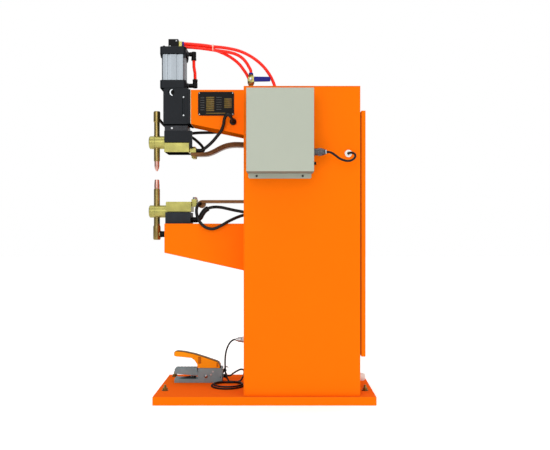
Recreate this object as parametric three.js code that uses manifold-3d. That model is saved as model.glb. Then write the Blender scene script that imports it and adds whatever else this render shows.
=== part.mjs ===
// Pneumatic spot welder: a sheet-steel column on a floor plate carries two arms. An air cylinder on the
// upper arm pushes a ram with the upper electrode down onto the lower electrode. A foot switch starts it.
// Millimetres. +Z up, -X towards the operator, the control box is on the -Y side.
// The origin is the centre of the floor plate's underside.
import * as THREE from 'three';
import { mergeVertices } from 'three/addons/utils/BufferGeometryUtils.js';
import Module from 'manifold-3d';

const wasm = await Module();
wasm.setup();

// ---- Driving dimensions ----
const GAP = 0.3;
const PLATE = { halfLength: 400, halfWidth: 200, height: 30 };
const ANCHOR = { x: 372, near: -90, far: 162, hole: 7, seat: 14, seatDepth: 0.5 };
const CABINET = { front: -75, rear: 344, half: 185, top: 1144, sheet: 3 };
const ARM_HALF = 60;
const UPPER_ARM = { front: -279.5, top: 1155, bottomFront: 1027, bottomRear: 984, wall: 6 };
const MOUNT_PLATE = { front: -291.7, rear: -281.7, half: 62, bottom: 1027, top: 1157 };
const LOWER_ARM = { front: -380, top: 651, bottomFront: 541, bottomRear: 473, wall: 6 };
const RAM_X = -350;
const CAP_HALF = 49;
const BARREL_HALF = 43;
const HOUSING = { left: -386, right: -292, half: 49, bottom: 1027, top: 1164, bore: 25.3 };
const CYLINDER = { bottomCapTop: 1195, barrelTop: 1294, topCapTop: 1322, boreRadius: 31.6 };
const ELECTRODE = { x: -418, rod: 11.6, upperTip: 853, lowerTip: 820.5 };
const BAR = { left: -446, split: -423, right: -290 };
const UPPER_BAR = { z: 963, radius: 25 };
const LOWER_BAR = { z: 698, radius: 24 };
const BOX = { left: -61, right: 173, front: -285, back: -188, bottom: 829, top: 1118, sheet: 2 };
const DOOR = { front: 349, rear: 364, half: 175, bottom: 170, top: 1057, opening: 160 };
const VALVE = { x: -56, z: 1203 };
const SWITCH = { front: -357, rear: -170, near: 39, far: 95, floor: PLATE.height + GAP };
const PIVOT = { x: -233, z: 55 };
const MAINS = { y: -20, z: 66 };
const RED_HOSE = 12;
const WATER_HOSE = 10;
const CABLE = 6.5;
const SIGNAL_CABLE = 8;

// ---- Shape helpers ----

function solid(geometry) {
  const bare = new THREE.BufferGeometry();
  bare.setAttribute('position', geometry.getAttribute('position'));
  bare.setIndex(geometry.index);
  const merged = mergeVertices(bare, 1e-4);
  const corners = merged.index.array;
  const triangles = [];
  for (let i = 0; i < corners.length; i += 3) {
    const [a, b, c] = [corners[i], corners[i + 1], corners[i + 2]];
    if (a !== b && b !== c && c !== a) {
      triangles.push(a, b, c);
    }
  }
  return new wasm.Manifold(new wasm.Mesh({
    numProp: 3,
    vertProperties: new Float32Array(merged.getAttribute('position').array),
    triVerts: new Uint32Array(triangles),
  }));
}

function shaped(manifold) {
  const mesh = manifold.getMesh();
  const geometry = new THREE.BufferGeometry();
  geometry.setAttribute('position', new THREE.BufferAttribute(mesh.vertProperties, 3));
  geometry.setIndex(new THREE.BufferAttribute(mesh.triVerts, 1));
  return geometry;
}

function join(...geometries) {
  return shaped(geometries.map(solid).reduce((whole, piece) => whole.add(piece)));
}

function cut(geometry, ...tools) {
  return shaped(tools.map(solid).reduce((whole, tool) => whole.subtract(tool), solid(geometry)));
}

function block(x0, x1, y0, y1, z0, z1) {
  const geometry = new THREE.BoxGeometry(x1 - x0, y1 - y0, z1 - z0);
  return geometry.translate((x0 + x1) / 2, (y0 + y1) / 2, (z0 + z1) / 2);
}

// Turns geometry built along +Z so that it runs along the given axis, and moves its origin to a point.
function along(geometry, axis, [x, y, z]) {
  if (axis === 'x') {
    geometry.rotateY(Math.PI / 2);
  }
  if (axis === 'y') {
    geometry.rotateX(-Math.PI / 2);
  }
  return geometry.translate(x, y, z);
}

// A round bar of the given length that starts at a point and runs along +X, +Y or +Z.
function bar(axis, start, length, radius, sides = 24) {
  const geometry = new THREE.CylinderGeometry(radius, radius, length, sides);
  geometry.rotateX(Math.PI / 2).translate(0, 0, length / 2);
  return along(geometry, axis, start);
}

// A turned piece: the profile is a list of [radius, distance] that starts and ends on the axis.
function turned(axis, start, profile, sides = 32) {
  const points = profile.map(([radius, distance]) => new THREE.Vector2(radius, distance));
  const geometry = new THREE.LatheGeometry(points, sides);
  geometry.rotateX(Math.PI / 2);
  return along(geometry, axis, start);
}

// A plate cut to an outline of [x, z] points, from y0 to y1.
function sidePlate(outline, y0, y1) {
  const shape = new THREE.Shape(outline.map(([x, z]) => new THREE.Vector2(x, z)));
  const geometry = new THREE.ExtrudeGeometry(shape, { depth: y1 - y0, bevelEnabled: false });
  return geometry.rotateX(Math.PI / 2).translate(0, y1, 0);
}

// A bar of upright section, cut to an outline of [x, y] points, from z0 to z1.
function upright(outline, z0, z1) {
  const shape = new THREE.Shape(outline.map(([x, y]) => new THREE.Vector2(x, y)));
  const geometry = new THREE.ExtrudeGeometry(shape, { depth: z1 - z0, bevelEnabled: false });
  return geometry.translate(0, 0, z0);
}

// A hose or cable along a smooth curve through points.
function tube(points, diameter, sides = 8) {
  const path = new THREE.CatmullRomCurve3(points.map((point) => new THREE.Vector3(...point)));
  const section = new THREE.Shape();
  for (let i = 0; i < sides; i += 1) {
    const angle = (2 * Math.PI * i) / sides;
    const corner = [(Math.cos(angle) * diameter) / 2, (Math.sin(angle) * diameter) / 2];
    if (i === 0) {
      section.moveTo(...corner);
    } else {
      section.lineTo(...corner);
    }
  }
  const steps = Math.ceil(path.getLength() / (2.5 * diameter));
  return new THREE.ExtrudeGeometry(section, { steps, bevelEnabled: false, extrudePath: path });
}

// ---- Floor plate and column ----

// The plate has four anchor holes, each with a shallow spot face for its washer.
function basePlate() {
  const { halfLength, halfWidth, height } = PLATE;
  const plate = block(-halfLength, halfLength, -halfWidth, halfWidth, 0, height);
  const cuts = [-ANCHOR.x, ANCHOR.x].flatMap((x) => [ANCHOR.near, ANCHOR.far].flatMap((y) => [
    bar('z', [x, y, -1], height + 2, ANCHOR.hole, 16),
    bar('z', [x, y, height - ANCHOR.seatDepth], 2, ANCHOR.seat, 24),
  ]));
  return cut(plate, ...cuts);
}

const COLUMN_FOOT = PLATE.height + GAP;
const INSIDE_FRONT = CABINET.front + CABINET.sheet;
const INSIDE_HALF = CABINET.half - CABINET.sheet;
const GROMMET = { x: 301, z: 901, holeRadius: 9 };

function sidePanel(side) {
  const [y0, y1] = side < 0 ? [-CABINET.half, -INSIDE_HALF] : [INSIDE_HALF, CABINET.half];
  const ceiling = CABINET.top - CABINET.sheet - GAP;
  return block(INSIDE_FRONT + GAP, CABINET.rear, y0, y1, COLUMN_FOOT, ceiling);
}

function nearSidePanel() {
  return cut(sidePanel(-1), bar('y', [GROMMET.x, -190, GROMMET.z], 20, GROMMET.holeRadius));
}

// One bent sheet: the front of the column and its top, with openings for conductors, hoses and air.
function frontAndTop() {
  const { front, rear, half, top, sheet } = CABINET;
  const frontSheet = block(front, front + sheet, -half, half, COLUMN_FOOT, top);
  const topSheet = block(front, rear, -half, half, top - sheet, top);
  return cut(
    join(frontSheet, topSheet),
    block(front - 1, front + 4, -40, 40, 936, 970),
    block(front - 1, front + 4, -40, 40, 722, 750),
    bar('x', [front - 1, -14, 692.5], 5, 8, 12),
    bar('x', [front - 1, -41, 685.5], 5, 8, 12),
    bar('z', [43, 0, top - 4], 6, 7.5, 12),
    bar('z', [-60, 22, top - 4], 6, 7.5, 12),
    bar('z', [VALVE.x, 0, top - 4], 6, 8.3, 16),
    bar('x', [front - 1, 60, 196], 5, 8.3, 16),
  );
}

function rearFrame() {
  const { rear, top, sheet } = CABINET;
  const edge = INSIDE_HALF - GAP;
  return cut(
    block(rear - sheet, rear, -edge, edge, COLUMN_FOOT, top - sheet - GAP),
    block(rear - 10, rear + 5, -DOOR.opening, DOOR.opening, 190, 1040),
    bar('x', [rear - 10, MAINS.y, MAINS.z], 20, 10.3, 16),
  );
}

// ---- Arms ----

function armBox(outline, wall, rearX) {
  const outer = sidePlate(outline, -ARM_HALF, ARM_HALF);
  const [frontTop, frontBottom, rearBottom, rearTop] = outline;
  const inner = sidePlate([
    [frontTop[0] + wall, frontTop[1] - wall],
    [frontBottom[0] + wall, frontBottom[1] + wall],
    [rearX + 1, rearBottom[1] + wall],
    [rearX + 1, rearTop[1] - wall],
  ], -ARM_HALF + wall, ARM_HALF - wall);
  return cut(outer, inner);
}

function upperArm() {
  const { front, top, bottomFront, bottomRear, wall } = UPPER_ARM;
  const rear = CABINET.front - GAP;
  const beam = armBox([[front, top], [front, bottomFront], [rear, bottomRear], [rear, top]], wall, rear);
  return cut(
    beam,
    bar('y', [-121, -ARM_HALF - 5, 1034], 15, 9, 16),
    bar('y', [-121, ARM_HALF - 10, 1034], 15, 9, 16),
  );
}

// The plate that the cylinder's slide housing is bolted to.
function mountPlate() {
  const { front, rear, half, bottom, top } = MOUNT_PLATE;
  return block(front, rear, -half, half, bottom, top);
}

function lowerArm() {
  const { front, top, bottomFront, bottomRear, wall } = LOWER_ARM;
  const rear = CABINET.front - GAP;
  return armBox([[front, top], [front, bottomFront], [rear, bottomRear], [rear, top]], wall, rear);
}

function armGrommet() {
  const face = -ARM_HALF - GAP;
  return turned('y', [-121, face - 9, 1034], [
    [0, 2], [5.3, 2], [8, 0], [11.5, 2], [13, 5], [13, 9], [8.5, 9], [8.5, 14], [0, 14],
  ], 24);
}

// ---- Air cylinder on the upper arm ----

function housing() {
  const { left, right, half, bottom, top, bore } = HOUSING;
  const shoulder = 5;
  const body = sidePlate([
    [left, bottom], [right, bottom], [right, top - shoulder],
    [right - shoulder, top - GAP], [left + shoulder, top - GAP], [left, top - shoulder],
  ], -half, half);
  const mid = (left + right) / 2;
  return cut(
    body,
    block(mid - bore, mid + bore, -bore, bore, bottom - 1, top + 1),
    block(-313, -305, -half - 1, -half + 4, 1057, 1133),
    bar('y', [-356, -half - 1, 1147], 5, 12, 24),
  );
}

function cylinderCap(z0, z1, boreRadius) {
  const corner = 7;
  const [left, right] = [RAM_X - CAP_HALF, RAM_X + CAP_HALF];
  const outline = [
    [left + corner, -CAP_HALF], [right - corner, -CAP_HALF], [right, -CAP_HALF + corner],
    [right, CAP_HALF - corner], [right - corner, CAP_HALF], [left + corner, CAP_HALF],
    [left, CAP_HALF - corner], [left, -CAP_HALF + corner],
  ];
  const cap = upright(outline, z0, z1);
  return boreRadius > 0 ? cut(cap, bar('z', [RAM_X, 0, z0 - 1], z1 - z0 + 2, boreRadius)) : cap;
}

// The barrel is an aluminium profile: a square tube with two shallow grooves along each face.
function barrel() {
  const z0 = CYLINDER.bottomCapTop + GAP;
  const z1 = CYLINDER.barrelTop - GAP;
  const h = BARREL_HALF;
  const grooveHalf = 4;
  const depth = 2.5;
  const square = [
    [-h + 5, -h], [h - 5, -h], [h, -h + 5], [h, h - 5], [h - 5, h], [-h + 5, h], [-h, h - 5], [-h, -h + 5],
  ].map(([x, y]) => [RAM_X + x, y]);
  const grooves = [-17, 17].flatMap((at) => [
    block(RAM_X + at - grooveHalf, RAM_X + at + grooveHalf, -h - 1, -h + depth, z0 - 1, z1 + 1),
    block(RAM_X + at - grooveHalf, RAM_X + at + grooveHalf, h - depth, h + 1, z0 - 1, z1 + 1),
    block(RAM_X - h - 1, RAM_X - h + depth, at - grooveHalf, at + grooveHalf, z0 - 1, z1 + 1),
    block(RAM_X + h - depth, RAM_X + h + 1, at - grooveHalf, at + grooveHalf, z0 - 1, z1 + 1),
  ]);
  const bore = bar('z', [RAM_X, 0, z0 - 1], z1 - z0 + 2, CYLINDER.boreRadius, 40);
  return cut(upright(square, z0, z1), ...grooves, bore);
}

function topManifold() {
  return block(-371, -333, -20, 20, CYLINDER.topCapTop + GAP, 1357);
}

// A push-in elbow: a round stub out of the cap's side, and a round leg that the hose plugs into.
function elbow(x, z, turn) {
  const stub = bar('x', [RAM_X + CAP_HALF + GAP, 0, z], x - RAM_X - CAP_HALF, 9, 16);
  const leg = bar('z', [x, 0, turn < 0 ? z - 24 : z - 9], 33, 10, 16);
  return join(stub, leg);
}

const LINK = { topX: -276, top: 1303 - 24 - GAP, bottomX: -271, bottom: 1182 + 24 + GAP };

function linkHose() {
  const { topX, top, bottomX, bottom } = LINK;
  return tube([
    [topX, 0, top], [topX, 0, top - 20], [bottomX, 0, bottom + 20], [bottomX, 0, bottom],
  ], RED_HOSE);
}

// ---- Ram: everything that the cylinder pushes down ----

function ramShaft() {
  const neck = HOUSING.bore - GAP;
  const mid = (HOUSING.left + HOUSING.right) / 2;
  return join(
    block(mid - neck, mid + neck, -neck, neck, 1010, 1120),
    block(-382, -294, -42, 42, 1003, 1023),
    bar('z', [RAM_X, 0, 1119], 150, 10),
    bar('z', [RAM_X, 0, 1250], 20, CYLINDER.boreRadius - GAP, 40),
  );
}

function holderBore(z, radius) {
  return bar('x', [-400, 0, z], BAR.right + GAP + 400, radius + GAP, 32);
}

// Steel block under the ram, with a guide bar down the near corner of its right face.
function ramBlock() {
  const body = block(-383, -288, -45, 45, 960, 1002.7);
  const guide = block(-288.5, -278, -45, -28, 938, 1002.7);
  return cut(join(body, guide), holderBore(UPPER_BAR.z, UPPER_BAR.radius));
}

function upperClampBlock() {
  const body = block(-383, -288 - 2 * GAP, -45, 45, 922, 957);
  const tab = block(-289, -264, -30, 30, 922, 937.5);
  return cut(join(body, tab), holderBore(UPPER_BAR.z, UPPER_BAR.radius));
}

function electrodeBore() {
  return bar('z', [ELECTRODE.x, 0, 600], 500, ELECTRODE.rod + GAP, 32);
}

function holderBar(z, radius) {
  const start = BAR.split + GAP;
  return cut(bar('x', [start, 0, z], BAR.right - start, radius, 32), electrodeBore());
}

function holderCap(z, radius) {
  const length = BAR.split - GAP - BAR.left;
  const cap = turned('x', [BAR.left, 0, z], [
    [0, 0], [radius - 3, 0], [radius, 3], [radius, length], [0, length],
  ]);
  return cut(cap, electrodeBore());
}

// Brass tube with a cap on top; the water hose leaves the cap at the back.
function upperElectrodeHolder() {
  const z0 = 891;
  const rod = turned('z', [ELECTRODE.x, 0, z0], [
    [0, 12], [6.3, 12], [6.3, 0], [10.5, 0], [11.6, 2], [11.6, 99], [10.8, 101], [10.8, 149], [13, 152],
    [13, 188], [11, 192], [0, 192],
  ]);
  return join(rod, bar('y', [ELECTRODE.x, 5, 1062], 14, 6, 16));
}

function upperElectrodeTip() {
  return turned('z', [ELECTRODE.x, 0, ELECTRODE.upperTip], [
    [0, 0], [3, 0], [8, 10], [9.5, 20], [9.5, 37.7], [6, 37.7], [6, 49], [0, 49],
  ]);
}

function lowerElectrodeHolder() {
  const z0 = 589;
  const rod = turned('z', [ELECTRODE.x, 0, z0], [
    [0, 0], [12, 0], [14.2, 4], [14.2, 50], [11.6, 57], [11.6, 194], [10.5, 196], [6.3, 196], [6.3, 184],
    [0, 184],
  ]);
  return join(rod, bar('x', [ELECTRODE.x, 0, 611], LOWER_ARM.front - GAP - ELECTRODE.x, 11, 16));
}

function lowerElectrodeTip() {
  return turned('z', [ELECTRODE.x, 0, 774], [
    [0, 0], [6, 0], [6, 11.3], [10, 11.3], [10.3, 24], [8.8, 44], [8, 46.5], [0, 46.5],
  ]);
}

// ---- Conductors ----

// The laminated shunt is a flat copper strip that sags between the ram and the column.
function upperShunt() {
  const centre = new THREE.CatmullRomCurve3([
    [-284, 916], [-262, 916], [-240, 916.5], [-220, 919], [-197, 928], [-172, 941], [-148, 950],
    [-122, 954], [-98, 954], [-75, 953], [-36, 953],
  ].map(([x, z]) => new THREE.Vector3(x, 0, z)));
  const top = [];
  const bottom = [];
  const steps = 22;
  for (let i = 0; i <= steps; i += 1) {
    const at = centre.getPointAt(i / steps);
    const tangent = centre.getTangentAt(i / steps);
    const half = i < 5 ? 5 : 6.5;
    top.push([at.x - tangent.z * half, at.z + tangent.x * half]);
    bottom.unshift([at.x + tangent.z * half, at.z - tangent.x * half]);
  }
  return sidePlate([...top, ...bottom], -28, 28);
}

// The busbar is a straight copper bar with a round eye at its end.
function lowerBusbar() {
  const eye = bar('y', [-245, -14, 726], 28, 15, 24);
  return join(eye, block(-243, -36, -28, 28, 730, 741));
}

function lowerInsulatorBlock() {
  const body = block(-379, -284, -45, 45, LOWER_ARM.top + GAP, 693.5);
  return cut(body, holderBore(LOWER_BAR.z, LOWER_BAR.radius));
}

function lowerClampBlock() {
  const body = sidePlate([
    [-377, 697], [-281, 697], [-281, 734], [-374, 734], [-377, 731],
  ], -45, 45);
  const tab = block(-282, -262 - GAP, -28, 28, 716, 744);
  return cut(join(body, tab), holderBore(LOWER_BAR.z, LOWER_BAR.radius));
}

// ---- Water hoses ----

const WATER_FEED = [
  [-121, -69.5, 1034], [-122, -80, 1037], [-129, -88, 1050], [-140, -89, 1056], [-150, -85, 1046],
  [-156, -76, 1020], [-165, -66, 1000], [-181, -56, 981], [-201, -46, 960], [-224, -38, 941],
  [-240, -27, 933], [-251, -20, 930], [-263.4, -20, 930],
];
const WATER_LINK = [
  [-263.4, 18, 930], [-252, 18, 930], [-241, 27, 936], [-249, 46, 954], [-266, 56, 972],
  [-289, 59, 990], [-318, 60, 1003], [-348, 61, 1012], [-372, 61, 1022], [-392, 59, 1033],
  [-406, 52, 1046], [-415, 42, 1058], [-418, 31, 1062], [-418, 19.5, 1062],
];
const WATER_RETURN = [
  [-365, 45.6, 982], [-365, 57, 982.5], [-354, 71, 989], [-335, 76, 995], [-305, 76, 1001], [-270, 75, 1005],
  [-238, 75, 1006], [-206, 77, 1008], [-176, 80, 1012], [-150, 86, 1020], [-134, 86, 1028],
  [-124, 78, 1033], [-121, 69, 1034], [-121, ARM_HALF + GAP, 1034],
];
const WATER_LOWER_FEED = [
  [-70, -14, 692], [-90, -13, 697], [-117, -11, 702], [-144, -10, 708], [-167, -9, 713], [-194, -8, 715],
  [-217, -7, 711], [-233, -6, 701], [-243, -5, 688], [-251, -5, 674], [-262, -5, 666.4],
  [-273, -5, 666], [-283.6, -5, 666],
];
const WATER_LOWER_RETURN = [
  [-70, -40, 686], [-92, -48, 680], [-114, -60, 671], [-138, -70, 659], [-165, -75, 643], [-195, -76, 631],
  [-222, -73, 636], [-244, -66, 655], [-256, -58, 678], [-260, -50, 700], [-258, -42, 716],
  [-253, -33, 726], [-250, -25, 728], [-250, -14.8, 728],
];

// ---- Air supply ----

const FITTING_X = -332.7;
const AIR_REAR = [
  [FITTING_X, -4, 1343], [-313, -4, 1343], [-271, -4, 1340], [-232, -3, 1336.5], [-202, -3, 1332],
  [-167, -2, 1329], [-128, 0, 1323], [-98, 0, 1315], [-67, 0, 1301], [-40, 0, 1284], [-13, 0, 1261],
  [10, 0, 1233], [26, 0, 1205], [36, 0, 1178], [42, 0, 1150], [43, 0, 1120.3],
];
const AIR_VALVE = [
  [FITTING_X, -4, 1330], [-313, -4, 1330], [-271, -4, 1327.5], [-232, -3, 1323.5], [-202, -3, 1319],
  [-167, -2, 1314.5], [-135, -1, 1309.5], [-111, 0, 1302], [-90, 0, 1289], [-74, 0, 1271.5],
  [-63, 0, 1253], [-57.4, 0, 1242], [VALVE.x, 0, 1231.8],
];
const AIR_FRONT = [
  [FITTING_X, 9, 1336], [-313, 9, 1336], [-271, 9, 1333], [-232, 10, 1329], [-202, 10, 1323.5],
  [-176, 11, 1315], [-151, 13, 1304], [-126, 15, 1289], [-103, 18, 1270], [-86, 20, 1249], [-72, 22, 1228],
  [-63, 23, 1208], [-59, 23, 1188], [-59, 23, 1166], [-59.5, 22, 1144], [-56, 22, 1118], [-38, 20, 1097],
  [-10, 18, 1087.5], [5, 17, 1086], [19.5, 17, 1086],
];

function ballValveBody() {
  const body = turned('z', [VALVE.x, 0, 1135], [
    [0, 0], [8, 0], [8, 41], [10, 41], [10, 51], [12.5, 55], [13.5, 61], [13.5, 72], [12, 78], [9, 79],
    [9, 96], [0, 96],
  ], 24);
  const boss = bar('y', [VALVE.x, -19, VALVE.z], 12, 7.5, 16);
  return cut(join(body, boss), bar('y', [VALVE.x, -20, VALVE.z], 9, 4.3, 16));
}

function ballValveLever() {
  const outline = [
    [-65, 1195], [-50, 1193], [16, 1194], [19, 1197], [19, 1209], [16, 1212], [-50, 1213], [-65, 1210],
  ];
  return join(sidePlate(outline, -23, -19.5), bar('y', [VALVE.x, -22, VALVE.z], 9, 4, 16));
}

// ---- Control box ----

function controlBackPlate() {
  return sidePlate([
    [-54, 811], [-58, 815], [-58, 1112], [168, 1112], [168, 815], [164, 811],
  ], BOX.back, -CABINET.half - GAP);
}

function controlCover() {
  const { left, right, front, back, bottom, top, sheet } = BOX;
  const rear = back - GAP;
  const shell = block(left, right, front, rear, bottom, top);
  const hollow = block(left + sheet, right - sheet, front + sheet, rear + 1, bottom + sheet, top - sheet);
  return cut(shell, hollow);
}

const SIGNAL = { x: BOX.right + GAP, y: -235, z: 901 };

function signalConnector() {
  return turned('x', [SIGNAL.x, SIGNAL.y, SIGNAL.z], [
    [0, 0], [15, 0], [15, 5], [13, 5], [13, 16], [13.7, 17], [13.7, 30], [11, 32], [11, 38], [6.5, 40],
    [5.5, 50], [0, 50],
  ], 24);
}

function sideGrommet() {
  const face = -CABINET.half - GAP;
  const ring = turned('y', [GROMMET.x, face - 6, GROMMET.z], [
    [0, 1], [9, 0], [13, 2], [13.5, 6], [GROMMET.holeRadius - GAP, 6], [GROMMET.holeRadius - GAP, 12],
    [0, 12],
  ], 24);
  return cut(ring, bar('y', [GROMMET.x, face - 10, GROMMET.z], 30, 5, 16));
}

const SIGNAL_ROUTE = [
  [SIGNAL.x + 50.4, -235, 901], [231, -235, 900.5], [240, -235.5, 896.5],
  [252, -236, 888], [266, -236, 878], [281, -235, 872],
  [296, -232, 870], [310, -228, 874], [320, -223, 883], [322, -217, 893], [316, -210, 900],
  [307, -204, 902], [302, -196, 901.5], [301, -188, 901], [301, -178, 901],
];

// ---- Lower arm side: rear door and lock ----

function rearDoor() {
  const { front, rear, half, bottom, top } = DOOR;
  const sheet = 2;
  const pan = block(front, rear, -half, half, bottom, top);
  const hollow = block(front - 1, rear - sheet, -half + sheet, half - sheet, bottom + sheet, top - sheet);
  return cut(pan, hollow, bar('x', [front, LOCK.y, LOCK.z], 20, 6.3, 16));
}

const LOCK = { y: -145, z: 610 };

// Quarter-turn lock: a flat rosette outside, a spindle through the door and a cam behind the rear frame.
function doorLock() {
  const knob = turned('x', [336, LOCK.y, LOCK.z], [
    [0, 0], [6, 0], [6, 28 + GAP], [12, 28 + GAP], [12, 29.2], [11.2, 30], [0, 30],
  ], 20);
  const cam = block(333, 337, LOCK.y - 6, LOCK.y + 6, LOCK.z - 6, LOCK.z + 26);
  const key = block(365, 367, LOCK.y - 2, LOCK.y + 2, LOCK.z - 7, LOCK.z + 7);
  return join(knob, cam, key);
}

// ---- Foot switch ----

function switchBase() {
  const { front, rear, near, far, floor } = SWITCH;
  const wall = 6;
  return cut(
    join(
      block(front, rear, near, far, floor, 44),
      block(-264, rear, near, near + wall, 43, 87),
      block(-264, rear, far - wall, far, 43, 87),
      block(rear - wall, rear, near, far, 43, 87),
      bar('x', [rear - 2, (near + far) / 2, 52], 20, 7, 16),
    ),
    bar('y', [PIVOT.x, near - 1, PIVOT.z], far - near + 2, 4.4, 16),
  );
}

// Pedal with its trunnion pin; it presses a contact inside the rear body.
function switchTreadle() {
  const { near, far } = SWITCH;
  const pedal = sidePlate([
    [-357, 64], [-357, 82], [-354, 85], [-268, 85], [-267, 72], [-226, 70], [-224, 62], [-224, 50],
    [-240, 49], [-262, 56],
  ], near + 7, far - 7);
  return join(pedal, bar('y', [PIVOT.x, near + 0.5, PIVOT.z], far - near - 1, 4, 16));
}

// The guard is a thin shell over the pedal, open to the front and below.
function switchHood() {
  const outline = [
    [-357, 136], [-352, 133], [-290, 127], [-278, 118], [-268, 103], [-266, 87.5], [-179, 87.5],
    [-179, 97], [-185, 116], [-281, 148], [-348, 154], [-355, 153], [-357, 149],
  ];
  const inside = [
    [-353, 118], [-353, 149.4], [-348, 150.4], [-282, 144.3], [-188, 113], [-183, 96], [-183, 80], [-300, 80],
  ];
  return cut(sidePlate(outline, SWITCH.near, SWITCH.far), sidePlate(inside, SWITCH.near + 3, SWITCH.far - 3));
}

const COIL = { x: -144, y: -22, inner: 46, outer: 65, floor: PLATE.height + GAP, top: PLATE.height + 14 };

function cableCoil() {
  const { inner, outer, floor, top } = COIL;
  const ring = [
    [inner, floor], [outer, floor], [outer, top], [inner, top], [inner, floor],
  ];
  return turned('z', [COIL.x, COIL.y, 0], ring, 32);
}

function switchConnector() {
  return turned('x', [-118, 60, 196], [
    [0, 0], [6, 0], [7, 8], [10, 10], [10, 22], [12, 24], [12, 38], [14, 38], [14, 42.5], [8, 42.5],
    [8, 49], [0, 49],
  ], 24);
}

const CABLE_DROP = [
  [-118.5, 60, 196], [-125, 60, 195.6], [-138, 60, 187], [-148, 61, 172], [-154, 61, 157], [-158, 61, 139],
  [-160, 61, 118], [-160, 60, 97], [-159, 58, 76], [-156, 54, 57], [-149, 49.5, 44],
];
const CABLE_TAIL = [
  [-151.4, 67, 52], [-140, 67, 53.5], [-128, 68, 62], [-112, 66, 72], [-97, 60, 79], [-87, 53, 77],
  [-85, 46, 65], [-91, 40, 50], [-100, 35, 39],
];

// ---- Inside the column ----

// Core with its windings on two rails that span the column, and the two secondary terminals.
function transformer() {
  const rail = INSIDE_HALF - GAP;
  return join(
    block(0, 210, -80, 80, 690, 985),
    block(40, 170, -110, 110, 740, 935),
    block(30, 60, -rail, rail, 670, 695),
    block(150, 180, -rail, rail, 670, 695),
    block(-35.4, 5, -28, 28, 944, 962),
    block(-35.4, 5, -28, 28, 727, 745),
  );
}

function thyristorModule() {
  const back = INSIDE_HALF - GAP;
  const fins = Array.from({ length: 6 }, (unused, i) => block(
    104 + i * 20, 112 + i * 20, back - 70, back - 19, 420, 560,
  ));
  return join(block(100, 220, back - 20, back, 420, 560), ...fins);
}

function solenoidValve() {
  const ceiling = CABINET.top - CABINET.sheet - GAP;
  return join(
    block(20, 90, -25, 30, 1060, 1120),
    block(66, 90, -25, 30, 1110, ceiling),
    bar('x', [85, 2, 1090], 45, 14, 16),
  );
}

// The mains cable enters through this gland, low on the rear.
function mainsGland() {
  const face = CABINET.rear + GAP - 330;
  return turned('x', [330, MAINS.y, MAINS.z], [
    [0, 0], [14, 0], [14, 8], [10, 8], [10, face], [17, face], [17, face + 8], [15, face + 12],
    [15, face + 28], [11, face + 36], [0, face + 36],
  ], 20);
}

// ---- Materials ----

function paint(color, roughness = 0.35) {
  return () => new THREE.MeshStandardMaterial({ color, roughness, metalness: 0 });
}

function metal(color, roughness = 0.35) {
  return () => new THREE.MeshStandardMaterial({ color, roughness, metalness: 1 });
}

const orange = paint(0xff7a00);
const charcoal = paint(0x2d323a, 0.5);
const greyPaint = paint(0xbec4b4, 0.45);
const amber = paint(0xffa00a, 0.4);
const castGrey = metal(0x8a8f94, 0.6);
const aluminium = metal(0xbec8cd, 0.35);
const steel = metal(0x6b7075, 0.45);
const brass = metal(0xbeb45a, 0.35);
const copper = metal(0x96643f, 0.4);
const blackRubber = paint(0x16171a, 0.7);
const redHose = paint(0xe62814, 0.3);
const bluePlastic = paint(0x0a0a82, 0.35);
const whitePlastic = paint(0xe8e8e4, 0.5);
const greenBoard = paint(0x3b4a44, 0.7);

// ---- The welder ----

const welder = new THREE.Group();

function add(name, geometry, makeMaterial) {
  const mesh = new THREE.Mesh(geometry, makeMaterial());
  mesh.name = name;
  welder.add(mesh);
}

add('base_plate', basePlate(), orange);
add('cabinet_side_near', nearSidePanel(), orange);
add('cabinet_side_far', sidePanel(1), orange);
add('cabinet_front_top', frontAndTop(), orange);
add('cabinet_rear_frame', rearFrame(), orange);
add('rear_door', rearDoor(), orange);
add('door_lock', doorLock(), steel);
add('mains_gland', mainsGland(), blackRubber);

add('upper_arm', upperArm(), orange);
add('arm_mount_plate', mountPlate(), charcoal);
add('lower_arm', lowerArm(), orange);
add('arm_grommet', armGrommet(), blackRubber);

add('slide_housing', housing(), charcoal);
add('cylinder_bottom_cap', cylinderCap(HOUSING.top, CYLINDER.bottomCapTop, 10.3), charcoal);
add('cylinder_barrel', barrel(), aluminium);
add('cylinder_top_cap', cylinderCap(CYLINDER.barrelTop, CYLINDER.topCapTop, 0), charcoal);
add('top_manifold', topManifold(), charcoal);
add('upper_elbow', elbow(LINK.topX, 1303, -1), blackRubber);
add('lower_elbow', elbow(LINK.bottomX, 1182, 1), blackRubber);
add('link_hose', linkHose(), redHose);

add('ram_shaft', ramShaft(), steel);
add('ram_block', ramBlock(), charcoal);
add('upper_clamp_block', upperClampBlock(), brass);
add('upper_holder_bar', holderBar(UPPER_BAR.z, UPPER_BAR.radius), brass);
add('upper_holder_cap', holderCap(UPPER_BAR.z, UPPER_BAR.radius), brass);
add('upper_electrode_holder', upperElectrodeHolder(), brass);
add('upper_electrode_tip', upperElectrodeTip(), copper);
add('upper_shunt', upperShunt(), copper);

add('lower_insulator_block', lowerInsulatorBlock(), charcoal);
add('lower_clamp_block', lowerClampBlock(), brass);
add('lower_holder_bar', holderBar(LOWER_BAR.z, LOWER_BAR.radius), brass);
add('lower_holder_cap', holderCap(LOWER_BAR.z, LOWER_BAR.radius), brass);
add('lower_electrode_holder', lowerElectrodeHolder(), brass);
add('lower_electrode_tip', lowerElectrodeTip(), copper);
add('lower_busbar', lowerBusbar(), copper);

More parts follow.
